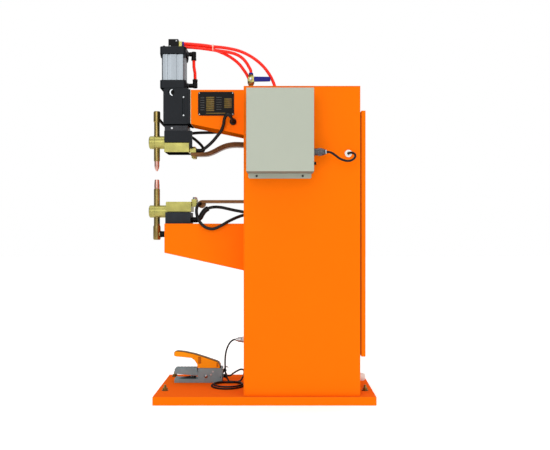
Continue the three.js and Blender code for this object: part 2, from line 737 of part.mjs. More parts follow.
add('water_hose_feed', tube(WATER_FEED, WATER_HOSE), blackRubber);
add('water_hose_link', tube(WATER_LINK, WATER_HOSE), blackRubber);
add('water_hose_return', tube(WATER_RETURN, WATER_HOSE), blackRubber);
add('water_hose_lower_feed', tube(WATER_LOWER_FEED, WATER_HOSE), blackRubber);
add('water_hose_lower_return', tube(WATER_LOWER_RETURN, WATER_HOSE), blackRubber);

add('air_hose_rear', tube(AIR_REAR, RED_HOSE), redHose);
add('air_hose_valve', tube(AIR_VALVE, RED_HOSE), redHose);
add('air_hose_front', tube(AIR_FRONT, RED_HOSE), redHose);
add('ball_valve_body', ballValveBody(), brass);
add('ball_valve_lever', ballValveLever(), bluePlastic);

add('control_box_back_plate', controlBackPlate(), greyPaint);
add('control_box_cover', controlCover(), greyPaint);
add('signal_connector', signalConnector(), steel);
add('side_grommet', sideGrommet(), whitePlastic);
add('signal_cable', tube(SIGNAL_ROUTE, SIGNAL_CABLE), blackRubber);

add('foot_switch_base', switchBase(), castGrey);
add('foot_switch_treadle', switchTreadle(), castGrey);
add('foot_switch_hood', switchHood(), amber);
add('foot_cable_connector', switchConnector(), steel);
add('foot_cable_drop', tube(CABLE_DROP, CABLE), blackRubber);
add('foot_cable_tail', tube(CABLE_TAIL, CABLE), blackRubber);
add('foot_cable_coil', cableCoil(), blackRubber);

add('welding_transformer', transformer(), copper);
add('thyristor_module', thyristorModule(), greenBoard);
add('solenoid_valve', solenoidValve(), aluminium);

export default welder;
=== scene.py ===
"""A pneumatic spot welder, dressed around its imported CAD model.

The frame is in metres. Shapes here are written in millimetres and scaled once, where a mesh is
made. The control box is on the -Y side, which faces the camera, and the electrodes are at the -X
end.
"""

import math

import bmesh
import bpy
from mathutils import Matrix, Vector


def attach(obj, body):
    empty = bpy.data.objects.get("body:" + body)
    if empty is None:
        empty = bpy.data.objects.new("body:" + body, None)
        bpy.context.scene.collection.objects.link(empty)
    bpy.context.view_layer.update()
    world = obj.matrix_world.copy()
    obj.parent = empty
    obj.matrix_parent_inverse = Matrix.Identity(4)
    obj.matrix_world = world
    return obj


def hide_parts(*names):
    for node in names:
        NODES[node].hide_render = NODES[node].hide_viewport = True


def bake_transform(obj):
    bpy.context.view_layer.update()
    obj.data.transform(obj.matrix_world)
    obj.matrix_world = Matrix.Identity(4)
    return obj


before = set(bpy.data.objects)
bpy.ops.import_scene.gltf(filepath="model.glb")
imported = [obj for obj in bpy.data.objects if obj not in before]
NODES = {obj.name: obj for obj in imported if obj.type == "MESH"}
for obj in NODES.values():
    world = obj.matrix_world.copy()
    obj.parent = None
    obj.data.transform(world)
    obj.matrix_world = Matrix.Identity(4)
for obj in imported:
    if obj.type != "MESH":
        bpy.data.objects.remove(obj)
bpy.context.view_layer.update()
MM = 0.001
SCENE = bpy.context.scene

# ---- Places that several pieces share, in millimetres ----

ANCHOR_SEAT = 29.6  # 0.4 inside the floor plate, so that no gap shows
COLUMN_FRONT = -75.1  # 0.1 clear of the front face
HINGE_X, HINGE_Y = 346.5, 178
ARM_HOSE_X, ARM_HOSE_Z = -121, 1034
VALVE_X, VALVE_Z = -56, 1203
SIGNAL_PLUG = (173.3, -235, 901)
FOOT_PLUG = (-118, 60, 196)
SWITCH_NEAR, SWITCH_FAR = 39, 95
TREADLE_PIN_X, TREADLE_PIN_Z = -233, 55
# The outer and inner faces of what is printed on the information plate and the control panel.
INFO_PRINT = (-61.62, -61.35)
INFO_LINES = (-61.6, -61.35)
BOX_PRINT = (-62.15, -61.8)

# ---- Camera ----

CAMERA_PLACE = (0.052, -2.741, 0.623)
FOCAL_LENGTH = 46.6
FRAME_SHIFT = (-0.0073, 0.0109)


def make_camera():
    """Level with the middle of the column, square to its control-box side."""
    data = bpy.data.cameras.new("camera")
    data.sensor_width = 36
    data.lens = FOCAL_LENGTH
    data.shift_x, data.shift_y = FRAME_SHIFT
    data.clip_end = 60
    camera = bpy.data.objects.new("camera", data)
    camera.location = CAMERA_PLACE
    camera.rotation_euler = (math.radians(90), 0, 0)
    SCENE.collection.objects.link(camera)
    SCENE.camera = camera


make_camera()

# ---- Materials ----


def srgb(r, g, b):
    """A screen colour, 0 to 255, as Blender's linear colour."""

    def linear(v):
        v /= 255
        return v / 12.92 if v <= 0.04045 else ((v + 0.055) / 1.055) ** 2.4

    return (linear(r), linear(g), linear(b), 1)


def scaled(colour, k):
    return tuple(min(1.0, c * k) for c in colour[:3]) + (1,)


class Wiring:
    """A node tree, with short ways to add the nodes that the finishes and the room are made of."""

    def __init__(self, tree):
        self.nodes, self.links = tree.nodes, tree.links

    def feed(self, value, socket):
        if isinstance(value, bpy.types.NodeSocket):
            self.links.new(value, socket)
        else:
            socket.default_value = value

    def remap(self, value, source=(0, 1), target=(0, 1)):
        node = self.nodes.new("ShaderNodeMapRange")
        for name, number in zip(("From Min", "From Max", "To Min", "To Max"), (*source, *target)):
            node.inputs[name].default_value = number
        self.feed(value, node.inputs["Value"])
        return node.outputs["Result"]

    def mix(self, factor, a, b):
        node = self.nodes.new("ShaderNodeMix")
        node.data_type = "RGBA"
        for name, value in (("Factor", factor), ("A", a), ("B", b)):
            self.feed(value, node.inputs[name])
        return node.outputs["Result"]

    def math(self, operation, *values):
        node = self.nodes.new("ShaderNodeMath")
        node.operation = operation
        for value, socket in zip(values, node.inputs):
            self.feed(value, socket)
        return node.outputs["Value"]

    def split(self, vector):
        node = self.nodes.new("ShaderNodeSeparateXYZ")
        self.feed(vector, node.inputs["Vector"])
        return node.outputs


def material(
    name,
    colour,
    rough,
    metal=0.0,
    vary=0.05,
    cloud=7,
    grain=900,
    bump=0.03,
    rough_vary=0.06,
    stretch=(1, 1, 1),
    worn_edge_with_painted_light=None,
    worn_edge_with_painted_light_radius=1.2,
    specular=0.5,
    under_shade=1.0,
    top_shade=None,
):
    """A procedural finish: slow colour clouds, fine grain in roughness and bump, and edges partly
    worn and partly painted edge light.

    Bump and the edge radius are in millimetres. The underside brightness darkens faces that look
    down: painted shade, where a painted part stays in the shade. The topside colour, which needs
    the underside brightness, is painted shade on faces that look up, and those faces are matt.
    """
    made = bpy.data.materials.new(name)
    made.use_nodes = True
    tree = Wiring(made.node_tree)
    shader = tree.nodes["Principled BSDF"]
    shader.inputs["Metallic"].default_value = metal
    shader.inputs["Specular IOR Level"].default_value = specular
    coord = tree.nodes.new("ShaderNodeTexCoord")
    mapping = tree.nodes.new("ShaderNodeMapping")
    mapping.inputs["Scale"].default_value = stretch
    tree.feed(coord.outputs["Object"], mapping.inputs["Vector"])
    normal = tree.nodes.new("ShaderNodeNewGeometry").outputs["Normal"]

    def noise(scale, detail):
        node = tree.nodes.new("ShaderNodeTexNoise")
        node.inputs["Scale"].default_value = scale
        node.inputs["Detail"].default_value = detail
        tree.feed(mapping.outputs["Vector"], node.inputs["Vector"])
        return node.outputs["Fac"]

    clouds = tree.remap(noise(cloud, 4), source=(0.3, 0.7))
    base = tree.mix(clouds, scaled(colour, 1 - vary), scaled(colour, 1 + vary))
    fine = noise(grain, 2)
    # Edges get a colour of their own: partly worn finish, partly painted edge light.
    if worn_edge_with_painted_light is not None:
        eased = tree.nodes.new("ShaderNodeBevel")
        eased.samples = 4
        eased.inputs["Radius"].default_value = worn_edge_with_painted_light_radius * MM
        turn = tree.nodes.new("ShaderNodeVectorMath")
        turn.operation = "DOT_PRODUCT"
        tree.feed(eased.outputs["Normal"], turn.inputs[0])
        tree.feed(normal, turn.inputs[1])
        edge = tree.remap(turn.outputs["Value"], source=(0.985, 0.86))
        base = tree.mix(tree.math("MULTIPLY", edge, noise(120, 3)), base, worn_edge_with_painted_light)
    # Painted shade: faces that look down are darkened, and faces that look up take the colour given
    # for them.
    if under_shade != 1:
        height = tree.split(normal)["Z"]
        down = tree.remap(height, source=(-0.2, -0.8))
        base = tree.mix(down, base, scaled(colour, under_shade))
        shine = tree.remap(down, target=(specular, 0))
        if top_shade is not None:
            above = tree.remap(height, source=(0.5, 0.9))
            base = tree.mix(above, base, top_shade)
            shine = tree.math("MULTIPLY", tree.remap(above, target=(1, 0)), shine)
        tree.feed(shine, shader.inputs["Specular IOR Level"])
    tree.feed(base, shader.inputs["Base Color"])
    gloss = tree.remap(fine, target=(max(0.02, rough - rough_vary), rough + rough_vary))
    tree.feed(gloss, shader.inputs["Roughness"])
    if bump:
        relief = tree.nodes.new("ShaderNodeBump")
        relief.inputs["Strength"].default_value = 0.6
        relief.inputs["Distance"].default_value = bump * MM
        tree.feed(fine, relief.inputs["Height"])
        tree.feed(relief.outputs["Normal"], shader.inputs["Normal"])
    return made


# Orange: the lighter edge colour is a painted edge highlight, the darker faces that look down are
# painted shade, and the darker, redder faces that look up are painted shade too.
ORANGE = material(
    "orange_powder_coat", srgb(255, 115, 0), 0.4, vary=0.02, cloud=3, grain=700,
    worn_edge_with_painted_light=srgb(255, 134, 26), worn_edge_with_painted_light_radius=2.0, specular=0.04, under_shade=0.6,
    top_shade=srgb(244, 106, 26),
)
# Charcoal, grey and amber: their darker faces that look down are painted shade, and their edge
# colours are partly worn paint and partly painted edge light.
CHARCOAL = material(
    "charcoal_paint", srgb(14, 19, 25), 0.46, vary=0.12, cloud=14, grain=1300,
    bump=0.04, worn_edge_with_painted_light=srgb(82, 88, 96), specular=0.2, under_shade=0.3,
)
GREY = material(
    "grey_paint", srgb(172, 178, 163), 0.42, vary=0.02, cloud=4, grain=1500,
    bump=0.02, worn_edge_with_painted_light=srgb(206, 210, 198), specular=0.35, under_shade=0.5,
)
AMBER = material(
    "amber_paint", srgb(255, 158, 0), 0.4, vary=0.04, cloud=18, grain=900,
    worn_edge_with_painted_light=srgb(190, 130, 30), specular=0.12, under_shade=0.4,
)
CAST = material(
    "cast_aluminium", srgb(120, 146, 152), 0.55, metal=0.0, vary=0.1, cloud=30,
    grain=1100, bump=0.12, worn_edge_with_painted_light=srgb(186, 189, 192),
)
ALUMINIUM = material(
    "anodised_aluminium", srgb(143, 150, 156), 0.34, metal=0.75, vary=0.1, cloud=90,
    grain=1400, stretch=(1, 1, 0.02), bump=0.01,
)
STEEL = material(
    "zinc_plated_steel", srgb(186, 190, 192), 0.3, metal=1.0, vary=0.12, cloud=60,
    grain=1600, bump=0.02,
)
CONNECTOR = material(
    "nickel_shell", srgb(84, 84, 88), 0.36, metal=0.8, vary=0.12, cloud=60, grain=1600,
    bump=0.02, worn_edge_with_painted_light=srgb(170, 172, 176),
)
DARK_STEEL = material(
    "black_oxide_steel", srgb(46, 47, 50), 0.4, metal=0.8, vary=0.2, cloud=60, grain=1600,
    bump=0.03, worn_edge_with_painted_light=srgb(120, 120, 122),
)
BRASS = material(
    "brass", srgb(166, 160, 88), 0.34, metal=0.75, vary=0.2, cloud=26, grain=700,
    bump=0.02, rough_vary=0.1, worn_edge_with_painted_light=srgb(226, 220, 150),
)
HOLDER_BRASS = material(
    "aged_brass", srgb(156, 136, 80), 0.26, metal=0.9, vary=0.2, cloud=34, grain=900,
    stretch=(1, 1, 0.4), bump=0.02, rough_vary=0.1,
)
COPPER = material(
    "copper", srgb(108, 72, 42), 0.38, metal=0.85, vary=0.22, cloud=30, grain=800,
    bump=0.03, rough_vary=0.1, worn_edge_with_painted_light=srgb(172, 120, 84),
)
TIP_COPPER = material(
    "polished_copper", srgb(206, 160, 146), 0.26, metal=0.9, vary=0.14, cloud=60,
    grain=1200, bump=0.01,
)
RUBBER = material(
    "black_rubber", srgb(16, 15, 15), 0.45, specular=0.25, vary=0.2, cloud=50, grain=1500,
    bump=0.05,
)
RED = material(
    "red_hose", srgb(252, 36, 12), 0.3, vary=0.05, cloud=24, grain=400, bump=0.01,
    specular=0.25,
)
BLUE = material(
    "blue_plastic", srgb(8, 8, 134), 0.34, specular=0.2, vary=0.08, cloud=50,
    grain=1200, bump=0.03,
)
# Black plastic: its darker faces that look down are painted shade.
BLACK_PLASTIC = material(
    "black_plastic", srgb(11, 10, 10), 0.4, vary=0.14, cloud=40, grain=1500,
    bump=0.03, specular=0.12, under_shade=0.5,
)
YELLOW_ZINC = material(
    "yellow_zinc", srgb(122, 108, 50), 0.36, metal=0.8, vary=0.3, cloud=90, grain=1500,
    bump=0.03,
)
WHITE_PLASTIC = material(
    "white_plastic", srgb(236, 236, 230), 0.4, vary=0.03, cloud=40, grain=1500,
)
# A silicone seal's red-brown, dark enough to stand in for the shade in the door gap as well: part
# real colour, part painted shade.
SEAL_AND_GAP_SHADE = material(
    "seal_rubber_and_gap_shade", srgb(116, 34, 12), 0.6, specular=0.2, vary=0.1, cloud=40, grain=1500,
)
CLEAR_PLASTIC = material(
    "tie_plastic", srgb(255, 196, 176), 0.3, vary=0.05, cloud=40, grain=1500,
)
GASKET = material(
    "gasket_sheet", srgb(214, 198, 160), 0.7, vary=0.08, cloud=120, grain=1800,
    bump=0.06,
)
INSULATION = material(
    "dark_insulation", srgb(40, 44, 50), 0.55, vary=0.12, cloud=40, grain=1500,
    bump=0.05, worn_edge_with_painted_light=srgb(92, 98, 108), specular=0.15,
)
WINDING = material(
    "varnished_core", srgb(60, 58, 56), 0.5, metal=0.4, vary=0.2, cloud=40, grain=900,
    stretch=(1, 1, 6), bump=0.08,
)
GOLD_PRINT = material(
    "gold_print", srgb(112, 92, 44), 0.4, specular=0.2, vary=0.16, cloud=120, grain=1500,
    bump=0.01,
)
PALE_PRINT = material(
    "pale_print", srgb(96, 96, 96), 0.45, specular=0.2, vary=0.1, cloud=120,
    grain=1500, bump=0.01,
)
# Dark olive amber laid over the guard's top is painted shade, a shaded copy of the amber paint.
AMBER_SHADOW = material(
    "amber_top_shade", srgb(112, 84, 24), 0.5, vary=0.2, cloud=40, grain=900,
    worn_edge_with_painted_light=srgb(90, 70, 26), specular=0.1,
)
# A darker amber on the guard's ribs: painted shade, a shaded copy of the amber paint.
AMBER_RIB_SHADE = material(
    "amber_rib_shade", srgb(190, 104, 4), 0.45, vary=0.12, cloud=60, grain=900,
    specular=0.1,
)
SCREEN = material(
    "display_window", srgb(30, 44, 40), 0.12, vary=0.1, cloud=60, grain=900,
    bump=0.0,
)


# ---- Paths ----


def smooth_path(points, steps=6):
    """A centripetal Catmull-Rom line through the points, in the same units."""
    p = [Vector(q) for q in points]
    p = [2 * p[0] - p[1]] + p + [2 * p[-1] - p[-2]]
    line = []
    for i in range(1, len(p) - 2):
        p0, p1, p2, p3 = p[i - 1 : i + 3]
        t1 = max(1e-6, (p1 - p0).length ** 0.5)
        t2 = t1 + max(1e-6, (p2 - p1).length ** 0.5)
        t3 = t2 + max(1e-6, (p3 - p2).length ** 0.5)
        for k in range(steps):
            t = t1 + (t2 - t1) * k / steps
            a1 = p0 * ((t1 - t) / t1) + p1 * (t / t1)
            a2 = p1 * ((t2 - t) / (t2 - t1)) + p2 * ((t - t1) / (t2 - t1))
            a3 = p2 * ((t3 - t) / (t3 - t2)) + p3 * ((t - t2) / (t3 - t2))
            b1 = a1 * ((t2 - t) / t2) + a2 * (t / t2)
            b2 = a2 * ((t3 - t) / (t3 - t1)) + a3 * ((t - t1) / (t3 - t1))
            line.append(b1 * ((t2 - t) / (t2 - t1)) + b2 * ((t - t1) / (t2 - t1)))
    line.append(p[-2])
    return line


def part_of(line, start, end):
    """The stretch of a line between two shares of its point count."""
    last = len(line) - 1
    return line[round(start * last) : round(end * last) + 1]


# ---- Cords: one open curve each, along the route that its CAD solid takes ----

AIR_REAR = [
    (-332.7, -4, 1343), (-313, -4, 1343), (-271, -4, 1340), (-232, -3, 1336.5), (-202, -3, 1332),
    (-167, -2, 1329), (-128, 0, 1323), (-98, 0, 1315), (-67, 0, 1301), (-40, 0, 1284),
    (-13, 0, 1261), (10, 0, 1233), (26, 0, 1205), (36, 0, 1178), (42, 0, 1150), (43, 0, 1120.3),
]
AIR_VALVE = [
    (-332.7, -4, 1330), (-313, -4, 1330), (-271, -4, 1327.5), (-232, -3, 1323.5), (-202, -3, 1319),
    (-167, -2, 1314.5), (-135, -1, 1309.5), (-111, 0, 1302), (-90, 0, 1289), (-74, 0, 1271.5),
    (-63, 0, 1253), (-57.4, 0, 1242), (-56, 0, 1231.8),
]
AIR_FRONT = [
    (-332.7, 9, 1336), (-313, 9, 1336), (-271, 9, 1333), (-232, 10, 1329), (-202, 10, 1323.5),
    (-176, 11, 1315), (-151, 13, 1304), (-126, 15, 1289), (-103, 18, 1270), (-86, 20, 1249),
    (-72, 22, 1228), (-63, 23, 1208), (-59, 23, 1188), (-59, 23, 1166), (-59.5, 22, 1144),
    (-56, 22, 1118), (-38, 20, 1097), (-10, 18, 1087.5), (5, 17, 1086), (19.5, 17, 1086),
]
SIGNAL = [
    (223.7, -235, 901), (231, -235, 900.5), (240, -235.5, 896.5), (252, -236, 888),
    (266, -236, 878), (281, -235, 872), (296, -232, 870), (310, -228, 874), (320, -223, 883),
    (322, -217, 893), (316, -210, 900), (307, -204, 902), (302, -196, 901.5), (301, -188, 901),
    (301, -178, 901),
]
FOOT_DROP = [
    (-118.5, 60, 196), (-125, 60, 195.6), (-138, 60, 187), (-148, 61, 172), (-154, 61, 157),
    (-158, 61, 139), (-160, 61, 118), (-160, 60, 97), (-159, 58, 76), (-156, 54, 57),
    (-149, 46, 44),
]
FOOT_TAIL = [
    (-100, 35, 39), (-91, 40, 50), (-85, 46, 65), (-87, 53, 77), (-97, 60, 79), (-112, 66, 72),
    (-128, 68, 62), (-140, 67, 53.5), (-151.4, 67, 52),
]


def foot_coil():
    """Two loose turns on the floor plate, clockwise from above."""
    turns = []
    count = 16
    for turn, (r0, r1, z) in enumerate([(59.5, 61, 34), (57, 51, 36)]):
        for i in range(count - 1 if turn == 1 else count):
            share = i / count
            angle = math.radians(86 - 360 * share)
            radius = r0 + (r1 - r0) * share
            height = z + 4 * math.sin(math.pi * share) * turn
            turns.append((-144 + radius * math.cos(angle), -22 + radius * math.sin(angle), height))
    return turns


def cord_curve(name, points, diameter, finish, nodes, **facts):
    data = bpy.data.curves.new(name, "CURVE")
    data.dimensions = "3D"
    data.resolution_u = 8
    data.bevel_depth = diameter / 2 * MM
    data.bevel_resolution = 5
    data.use_fill_caps = True
    spline = data.splines.new("BEZIER")
    spline.bezier_points.add(len(points) - 1)
    for knot, at in zip(spline.bezier_points, points):
        knot.co = Vector(at) * MM
        knot.handle_left_type = knot.handle_right_type = "AUTO"
    data.materials.append(finish)
    piece = bpy.data.objects.new(name, data)
    SCENE.collection.objects.link(piece)
    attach(piece, "root")
    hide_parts(*nodes)


cord_curve("air_line_rear", AIR_REAR, 12, RED, ["air_hose_rear"], length=0.5, stiffness="medium")
cord_curve("air_line_valve", AIR_VALVE, 12, RED, ["air_hose_valve"], length=0.32,
           stiffness="medium")
cord_curve("air_line_front", AIR_FRONT, 12, RED, ["air_hose_front"], length=0.5, stiffness="medium")
cord_curve("signal_lead", SIGNAL, 8, RUBBER, ["signal_cable"], length=0.175, stiffness="limp")
cord_curve(
    "foot_switch_lead", FOOT_DROP + foot_coil() + FOOT_TAIL, 6.5, RUBBER,
    ["foot_cable_drop", "foot_cable_tail", "foot_cable_coil"], length=1.1, stiffness="limp",
    lay="coiled",
)

# ---- Mesh helpers ----

AXES = {
    "x": Matrix(((0, 0, 1), (1, 0, 0), (0, 1, 0))),
    "y": Matrix(((0, 1, 0), (0, 0, 1), (1, 0, 0))),
    "z": Matrix.Identity(3),
}


def placed(axis, origin):
    """From a shape's own frame, its third axis along the named axis, to the machine's frame."""
    sign = -1 if axis.startswith("-") else 1
    turn = AXES[axis.lstrip("-")].to_4x4()
    flip = Matrix.Diagonal((1, sign, sign, 1)) if sign < 0 else Matrix.Identity(4)
    return Matrix.Translation(Vector(origin)) @ turn @ flip


def add_rings(bm, rings, close_ends=True):
    """Faces between closed rings of the same number of points."""
    rows = [[bm.verts.new(p) for p in ring] for ring in rings]
    for low, high in zip(rows, rows[1:]):
        for i, a in enumerate(low):
            j = (i + 1) % len(low)
            bm.faces.new((a, low[j], high[j], high[i]))
    if close_ends:
        bm.faces.new(list(reversed(rows[0])))
        bm.faces.new(rows[-1])


def add_lathe(bm, profile, origin, axis="z", sides=48):
    """A turned shape from (radius, distance) pairs. A third entry, "hex", gives a hexagon ring."""
    matrix = placed(axis, origin)
    rings = []
    for radius, distance, *form in profile:
        ring = []
        for i in range(sides):
            angle = 2 * math.pi * i / sides
            r = max(radius, 0.02)
            if form:
                r /= math.cos((angle + math.pi / 6) % (math.pi / 3) - math.pi / 6)
            ring.append(matrix @ Vector((r * math.cos(angle), r * math.sin(angle), distance)))
        rings.append(ring)
    add_rings(bm, rings)


def add_prism(bm, outline, low, high, axis="y"):
    """An outline of two coordinates, extruded along the axis. For "y" the outline is (x, z)."""

    def at(a, b, c):
        return {"y": (a, c, b), "z": (a, b, c), "x": (c, a, b)}[axis]

    add_rings(bm, [[at(a, b, low) for a, b in outline], [at(a, b, high) for a, b in outline]])


def add_box(bm, x, y, z):
    add_prism(bm, [(x[0], z[0]), (x[1], z[0]), (x[1], z[1]), (x[0], z[1])], y[0], y[1])


def rounded(a, b, radius, corner_steps=6):
    """A rectangle with rounded corners between the points a and b."""
    outline = []
    for cx, cy, start in (
        (b[0] - radius, b[1] - radius, 0),
        (a[0] + radius, b[1] - radius, 90),
        (a[0] + radius, a[1] + radius, 180),
        (b[0] - radius, a[1] + radius, 270),
    ):
        for i in range(corner_steps + 1):
            angle = math.radians(start + 90 * i / corner_steps)
            outline.append((cx + radius * math.cos(angle), cy + radius * math.sin(angle)))
    return outline


def add_sweep(bm, line, section, up=(0, 1, 0)):
    """A closed section, in (side, up) pairs, carried along a line of points."""
    line = [Vector(p) for p in line]
    normal = Vector(up)
    rings = []
    for i, at in enumerate(line):
        ahead = (line[min(i + 1, len(line) - 1)] - line[max(i - 1, 0)]).normalized()
        normal = (normal - ahead * normal.dot(ahead)).normalized()
        side = ahead.cross(normal)
        rings.append([at + side * a + normal * b for a, b in section])
    add_rings(bm, rings)


def circle(radius, sides=16):
    return [
        (radius * math.cos(2 * math.pi * i / sides), radius * math.sin(2 * math.pi * i / sides))
        for i in range(sides)
    ]


WELD_DISTANCE = 2e-6
FLAT_ANGLE = math.radians(0.6)
BEVEL_ANGLE = math.radians(32)


def soften(piece, width, segments, dissolve):
    """Rounded edges and even shading, without moving the mesh's own points.

    Dissolve first joins the triangles of each flat face, so that only real edges are rounded.
    """
    piece.data.shade_smooth()
    if dissolve:
        weld = piece.modifiers.new("weld", "WELD")
        weld.merge_threshold = WELD_DISTANCE
        flat = piece.modifiers.new("flat_faces", "DECIMATE")
        flat.decimate_type = "DISSOLVE"
        flat.angle_limit = FLAT_ANGLE
    bevel = piece.modifiers.new("edges", "BEVEL")
    bevel.width = width * MM
    bevel.segments = segments
    bevel.limit_method = "ANGLE"
    bevel.angle_limit = BEVEL_ANGLE
    bevel.use_clamp_overlap = True
    bevel.harden_normals = False
    shade = piece.modifiers.new("shading", "WEIGHTED_NORMAL")
    shade.keep_sharp = True
    shade.weight = 80


def make(name, bm, finish, body="root", replaces=(), edge=0.3):
    """Turns a mesh drawn in millimetres into a piece that rides on a body."""
    bmesh.ops.recalc_face_normals(bm, faces=bm.faces)
    bmesh.ops.scale(bm, vec=(MM, MM, MM), verts=bm.verts)
    data = bpy.data.meshes.new(name)
    bm.to_mesh(data)
    bm.free()
    data.materials.append(finish)
    piece = bpy.data.objects.new(name, data)
    SCENE.collection.objects.link(piece)
    if edge:
        soften(piece, edge, segments=2, dissolve=False)
    else:
        data.shade_smooth()
    if body is not None:
        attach(piece, body)
    if replaces:
        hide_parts(*replaces)
    return piece


def dress(name, finish, edge):
    """Gives a CAD node its finish and softened edges. Its own mesh points stay as they are."""
    node = NODES[name]
    node.data.materials.clear()
    node.data.materials.append(finish)
    for layer in ("custom_normal", "sharp_edge", "sharp_face"):
        if layer in node.data.attributes:
            node.data.attributes.remove(node.data.attributes[layer])
    soften(node, edge, segments=3, dissolve=True)


# ---- CAD nodes that keep their shape ----

for node_name, node_finish, node_edge in [
    ("base_plate", ORANGE, 1.6), ("cabinet_side_near", ORANGE, 0.8),
    ("cabinet_side_far", ORANGE, 0.8), ("cabinet_front_top", ORANGE, 1.3),
    ("cabinet_rear_frame", ORANGE, 0.8), ("rear_door", ORANGE, 0.9), ("door_lock", STEEL, 0.5),
    ("mains_gland", WHITE_PLASTIC, 0.6), ("upper_arm", ORANGE, 1.6),
    ("arm_mount_plate", CHARCOAL, 0.8), ("lower_arm", ORANGE, 1.6), ("arm_grommet", RUBBER, 0.6),
    ("slide_housing", CHARCOAL, 1.0), ("cylinder_bottom_cap", CHARCOAL, 1.2),
    ("cylinder_barrel", ALUMINIUM, 0.5), ("cylinder_top_cap", CHARCOAL, 1.2),
    ("top_manifold", BLACK_PLASTIC, 1.0), ("link_hose", RED, 0.2), ("ram_shaft", DARK_STEEL, 0.8),
    ("ram_block", CHARCOAL, 0.9), ("upper_clamp_block", BRASS, 0.9),
    ("upper_holder_bar", BRASS, 0.8), ("upper_holder_cap", BRASS, 0.8),
    ("upper_electrode_holder", HOLDER_BRASS, 0.4), ("upper_electrode_tip", TIP_COPPER, 0.3),
    ("lower_insulator_block", INSULATION, 0.9), ("lower_clamp_block", BRASS, 0.9),
    ("lower_holder_bar", BRASS, 0.8), ("lower_holder_cap", BRASS, 0.8),
    ("lower_electrode_holder", HOLDER_BRASS, 0.4), ("lower_electrode_tip", TIP_COPPER, 0.3),
    ("lower_busbar", COPPER, 0.7), ("ball_valve_lever", BLUE, 0.8),
    ("control_box_back_plate", GREY, 0.8), ("control_box_cover", GREY, 0.95),
    ("side_grommet", WHITE_PLASTIC, 0.5), ("foot_switch_base", CAST, 1.2),
    ("foot_switch_treadle", CAST, 1.2), ("welding_transformer", WINDING, 1.5),
    ("thyristor_module", ALUMINIUM, 0.8), ("solenoid_valve", BLACK_PLASTIC, 0.8),
]:
    dress(node_name, node_finish, node_edge)

# ---- Fasteners ----


def socket_screw(bm, at, axis, size, height=None):
    """A cap screw head with its hexagon socket, standing on a face along the axis."""
    height = size * 0.6 if height is None else height
    add_lathe(bm, [
        (0, 0), (size / 2, 0), (size / 2, height - 0.5), (size / 2 - 0.5, height),
        (size * 0.3, height), (size * 0.27, height - 0.1, "hex"),
        (size * 0.27, height * 0.4, "hex"), (0, height * 0.4),
    ], at, axis, 24)


def hex_bolt(bm, at, axis, size, height):
    """A washer, a chamfered hexagon head and the stub of its thread."""
    add_lathe(bm, [(0, 0), (size * 0.66, 0), (size * 0.66, 1.4), (size * 0.64, 1.7), (0, 1.7)],
              at, axis, 32)
    add_lathe(bm, [
        (0, 1.7), (size * 0.5, 1.7, "hex"), (size * 0.5, 1.2 + height * 0.86, "hex"),
        (size * 0.47, 1.7 + height), (0, 1.7 + height),
    ], at, axis, 24)


bm = bmesh.new()
for spot in ((-372, -90), (-372, 162), (372, -90), (372, 162)):
    add_lathe(bm, [(0, 0), (12, 0), (12, 2), (11.6, 2.5), (0, 2.5)], (*spot, ANCHOR_SEAT), "z", 32)
    add_lathe(bm, [
        (0, 2.5), (8.5, 2.5, "hex"), (8.5, 9, "hex"), (7.9, 10.4), (4.6, 10.6), (4.4, 20),
        (3.8, 21), (0, 21),
    ], (*spot, ANCHOR_SEAT), "z", 24)
make("floor_anchors", bm, YELLOW_ZINC)

bm = bmesh.new()
socket_screw(bm, (-354, -42, 1013), "-y", 8, 2.2)
make("ram_foot_screw", bm, STEEL, "ram")
bm = bmesh.new()
for x in (-316, -301):
    socket_screw(bm, (x, -42, 1013), "-y", 6.4, 1.6)
make("ram_foot_plugs", bm, DARK_STEEL, "ram")

bm = bmesh.new()
for x in (-385, -315):
    for y in (-35, 35):
        socket_screw(bm, (x, y, 1322), "z", 9, 5)
make("top_cap_screws", bm, DARK_STEEL)

bm = bmesh.new()
socket_screw(bm, (-340, -20, 1350), "-y", 6, 2.4)
socket_screw(bm, (-364, -20, 1329), "-y", 6, 2.4)
make("manifold_screws", bm, STEEL)

bm = bmesh.new()
for z in (1060.5, 1129.5):
    add_lathe(bm, [(0, 0), (3.6, 0), (3.6, 3.4), (3.1, 4.2), (1.4, 4.2), (1.2, 3.2), (0, 3.2)],
              (-309, -45, z), "-y", 24)
make("guide_screws", bm, STEEL)

bm = bmesh.new()
for z in (1150, 1046):
    for y in (-52, 52):
        hex_bolt(bm, (-281.7, y, z), "x", 10, 6)
make("flange_bolts", bm, DARK_STEEL)

bm = bmesh.new()
for y in (-16, 16):
    hex_bolt(bm, (-274, y, 910.8), "-z", 16, 8)
    hex_bolt(bm, (-274, y, 937.5), "z", 14, 6)
make("upper_lug_bolts", bm, BRASS, "ram")

bm = bmesh.new()
for y in (-16, 16):
    hex_bolt(bm, (-271, y, 744), "z", 13, 7)
make("lower_lug_bolts", bm, STEEL)

for z, body_name in ((963, "ram"), (698, "root")):
    screws = bmesh.new()
    for y in (-15.5, 15.5):
        for dz in (-9, 9):
            socket_screw(screws, (-446, y, z + dz), "-x", 6, 0.2)
    make(f"holder_cap_screws_{body_name}", screws, DARK_STEEL, body_name, edge=0)

bm = bmesh.new()
for x in (-28, 137):
    add_lathe(bm, [(0, 0), (4.2, 0), (4, 1.4), (2.6, 2.3), (1.6, 2.4), (1.4, 1.4), (0, 1.4)],
              (x, -188, 820), "-y", 24)
make("back_plate_screws", bm, DARK_STEEL)

# ---- Information plate on the upper arm: plain bars only ----

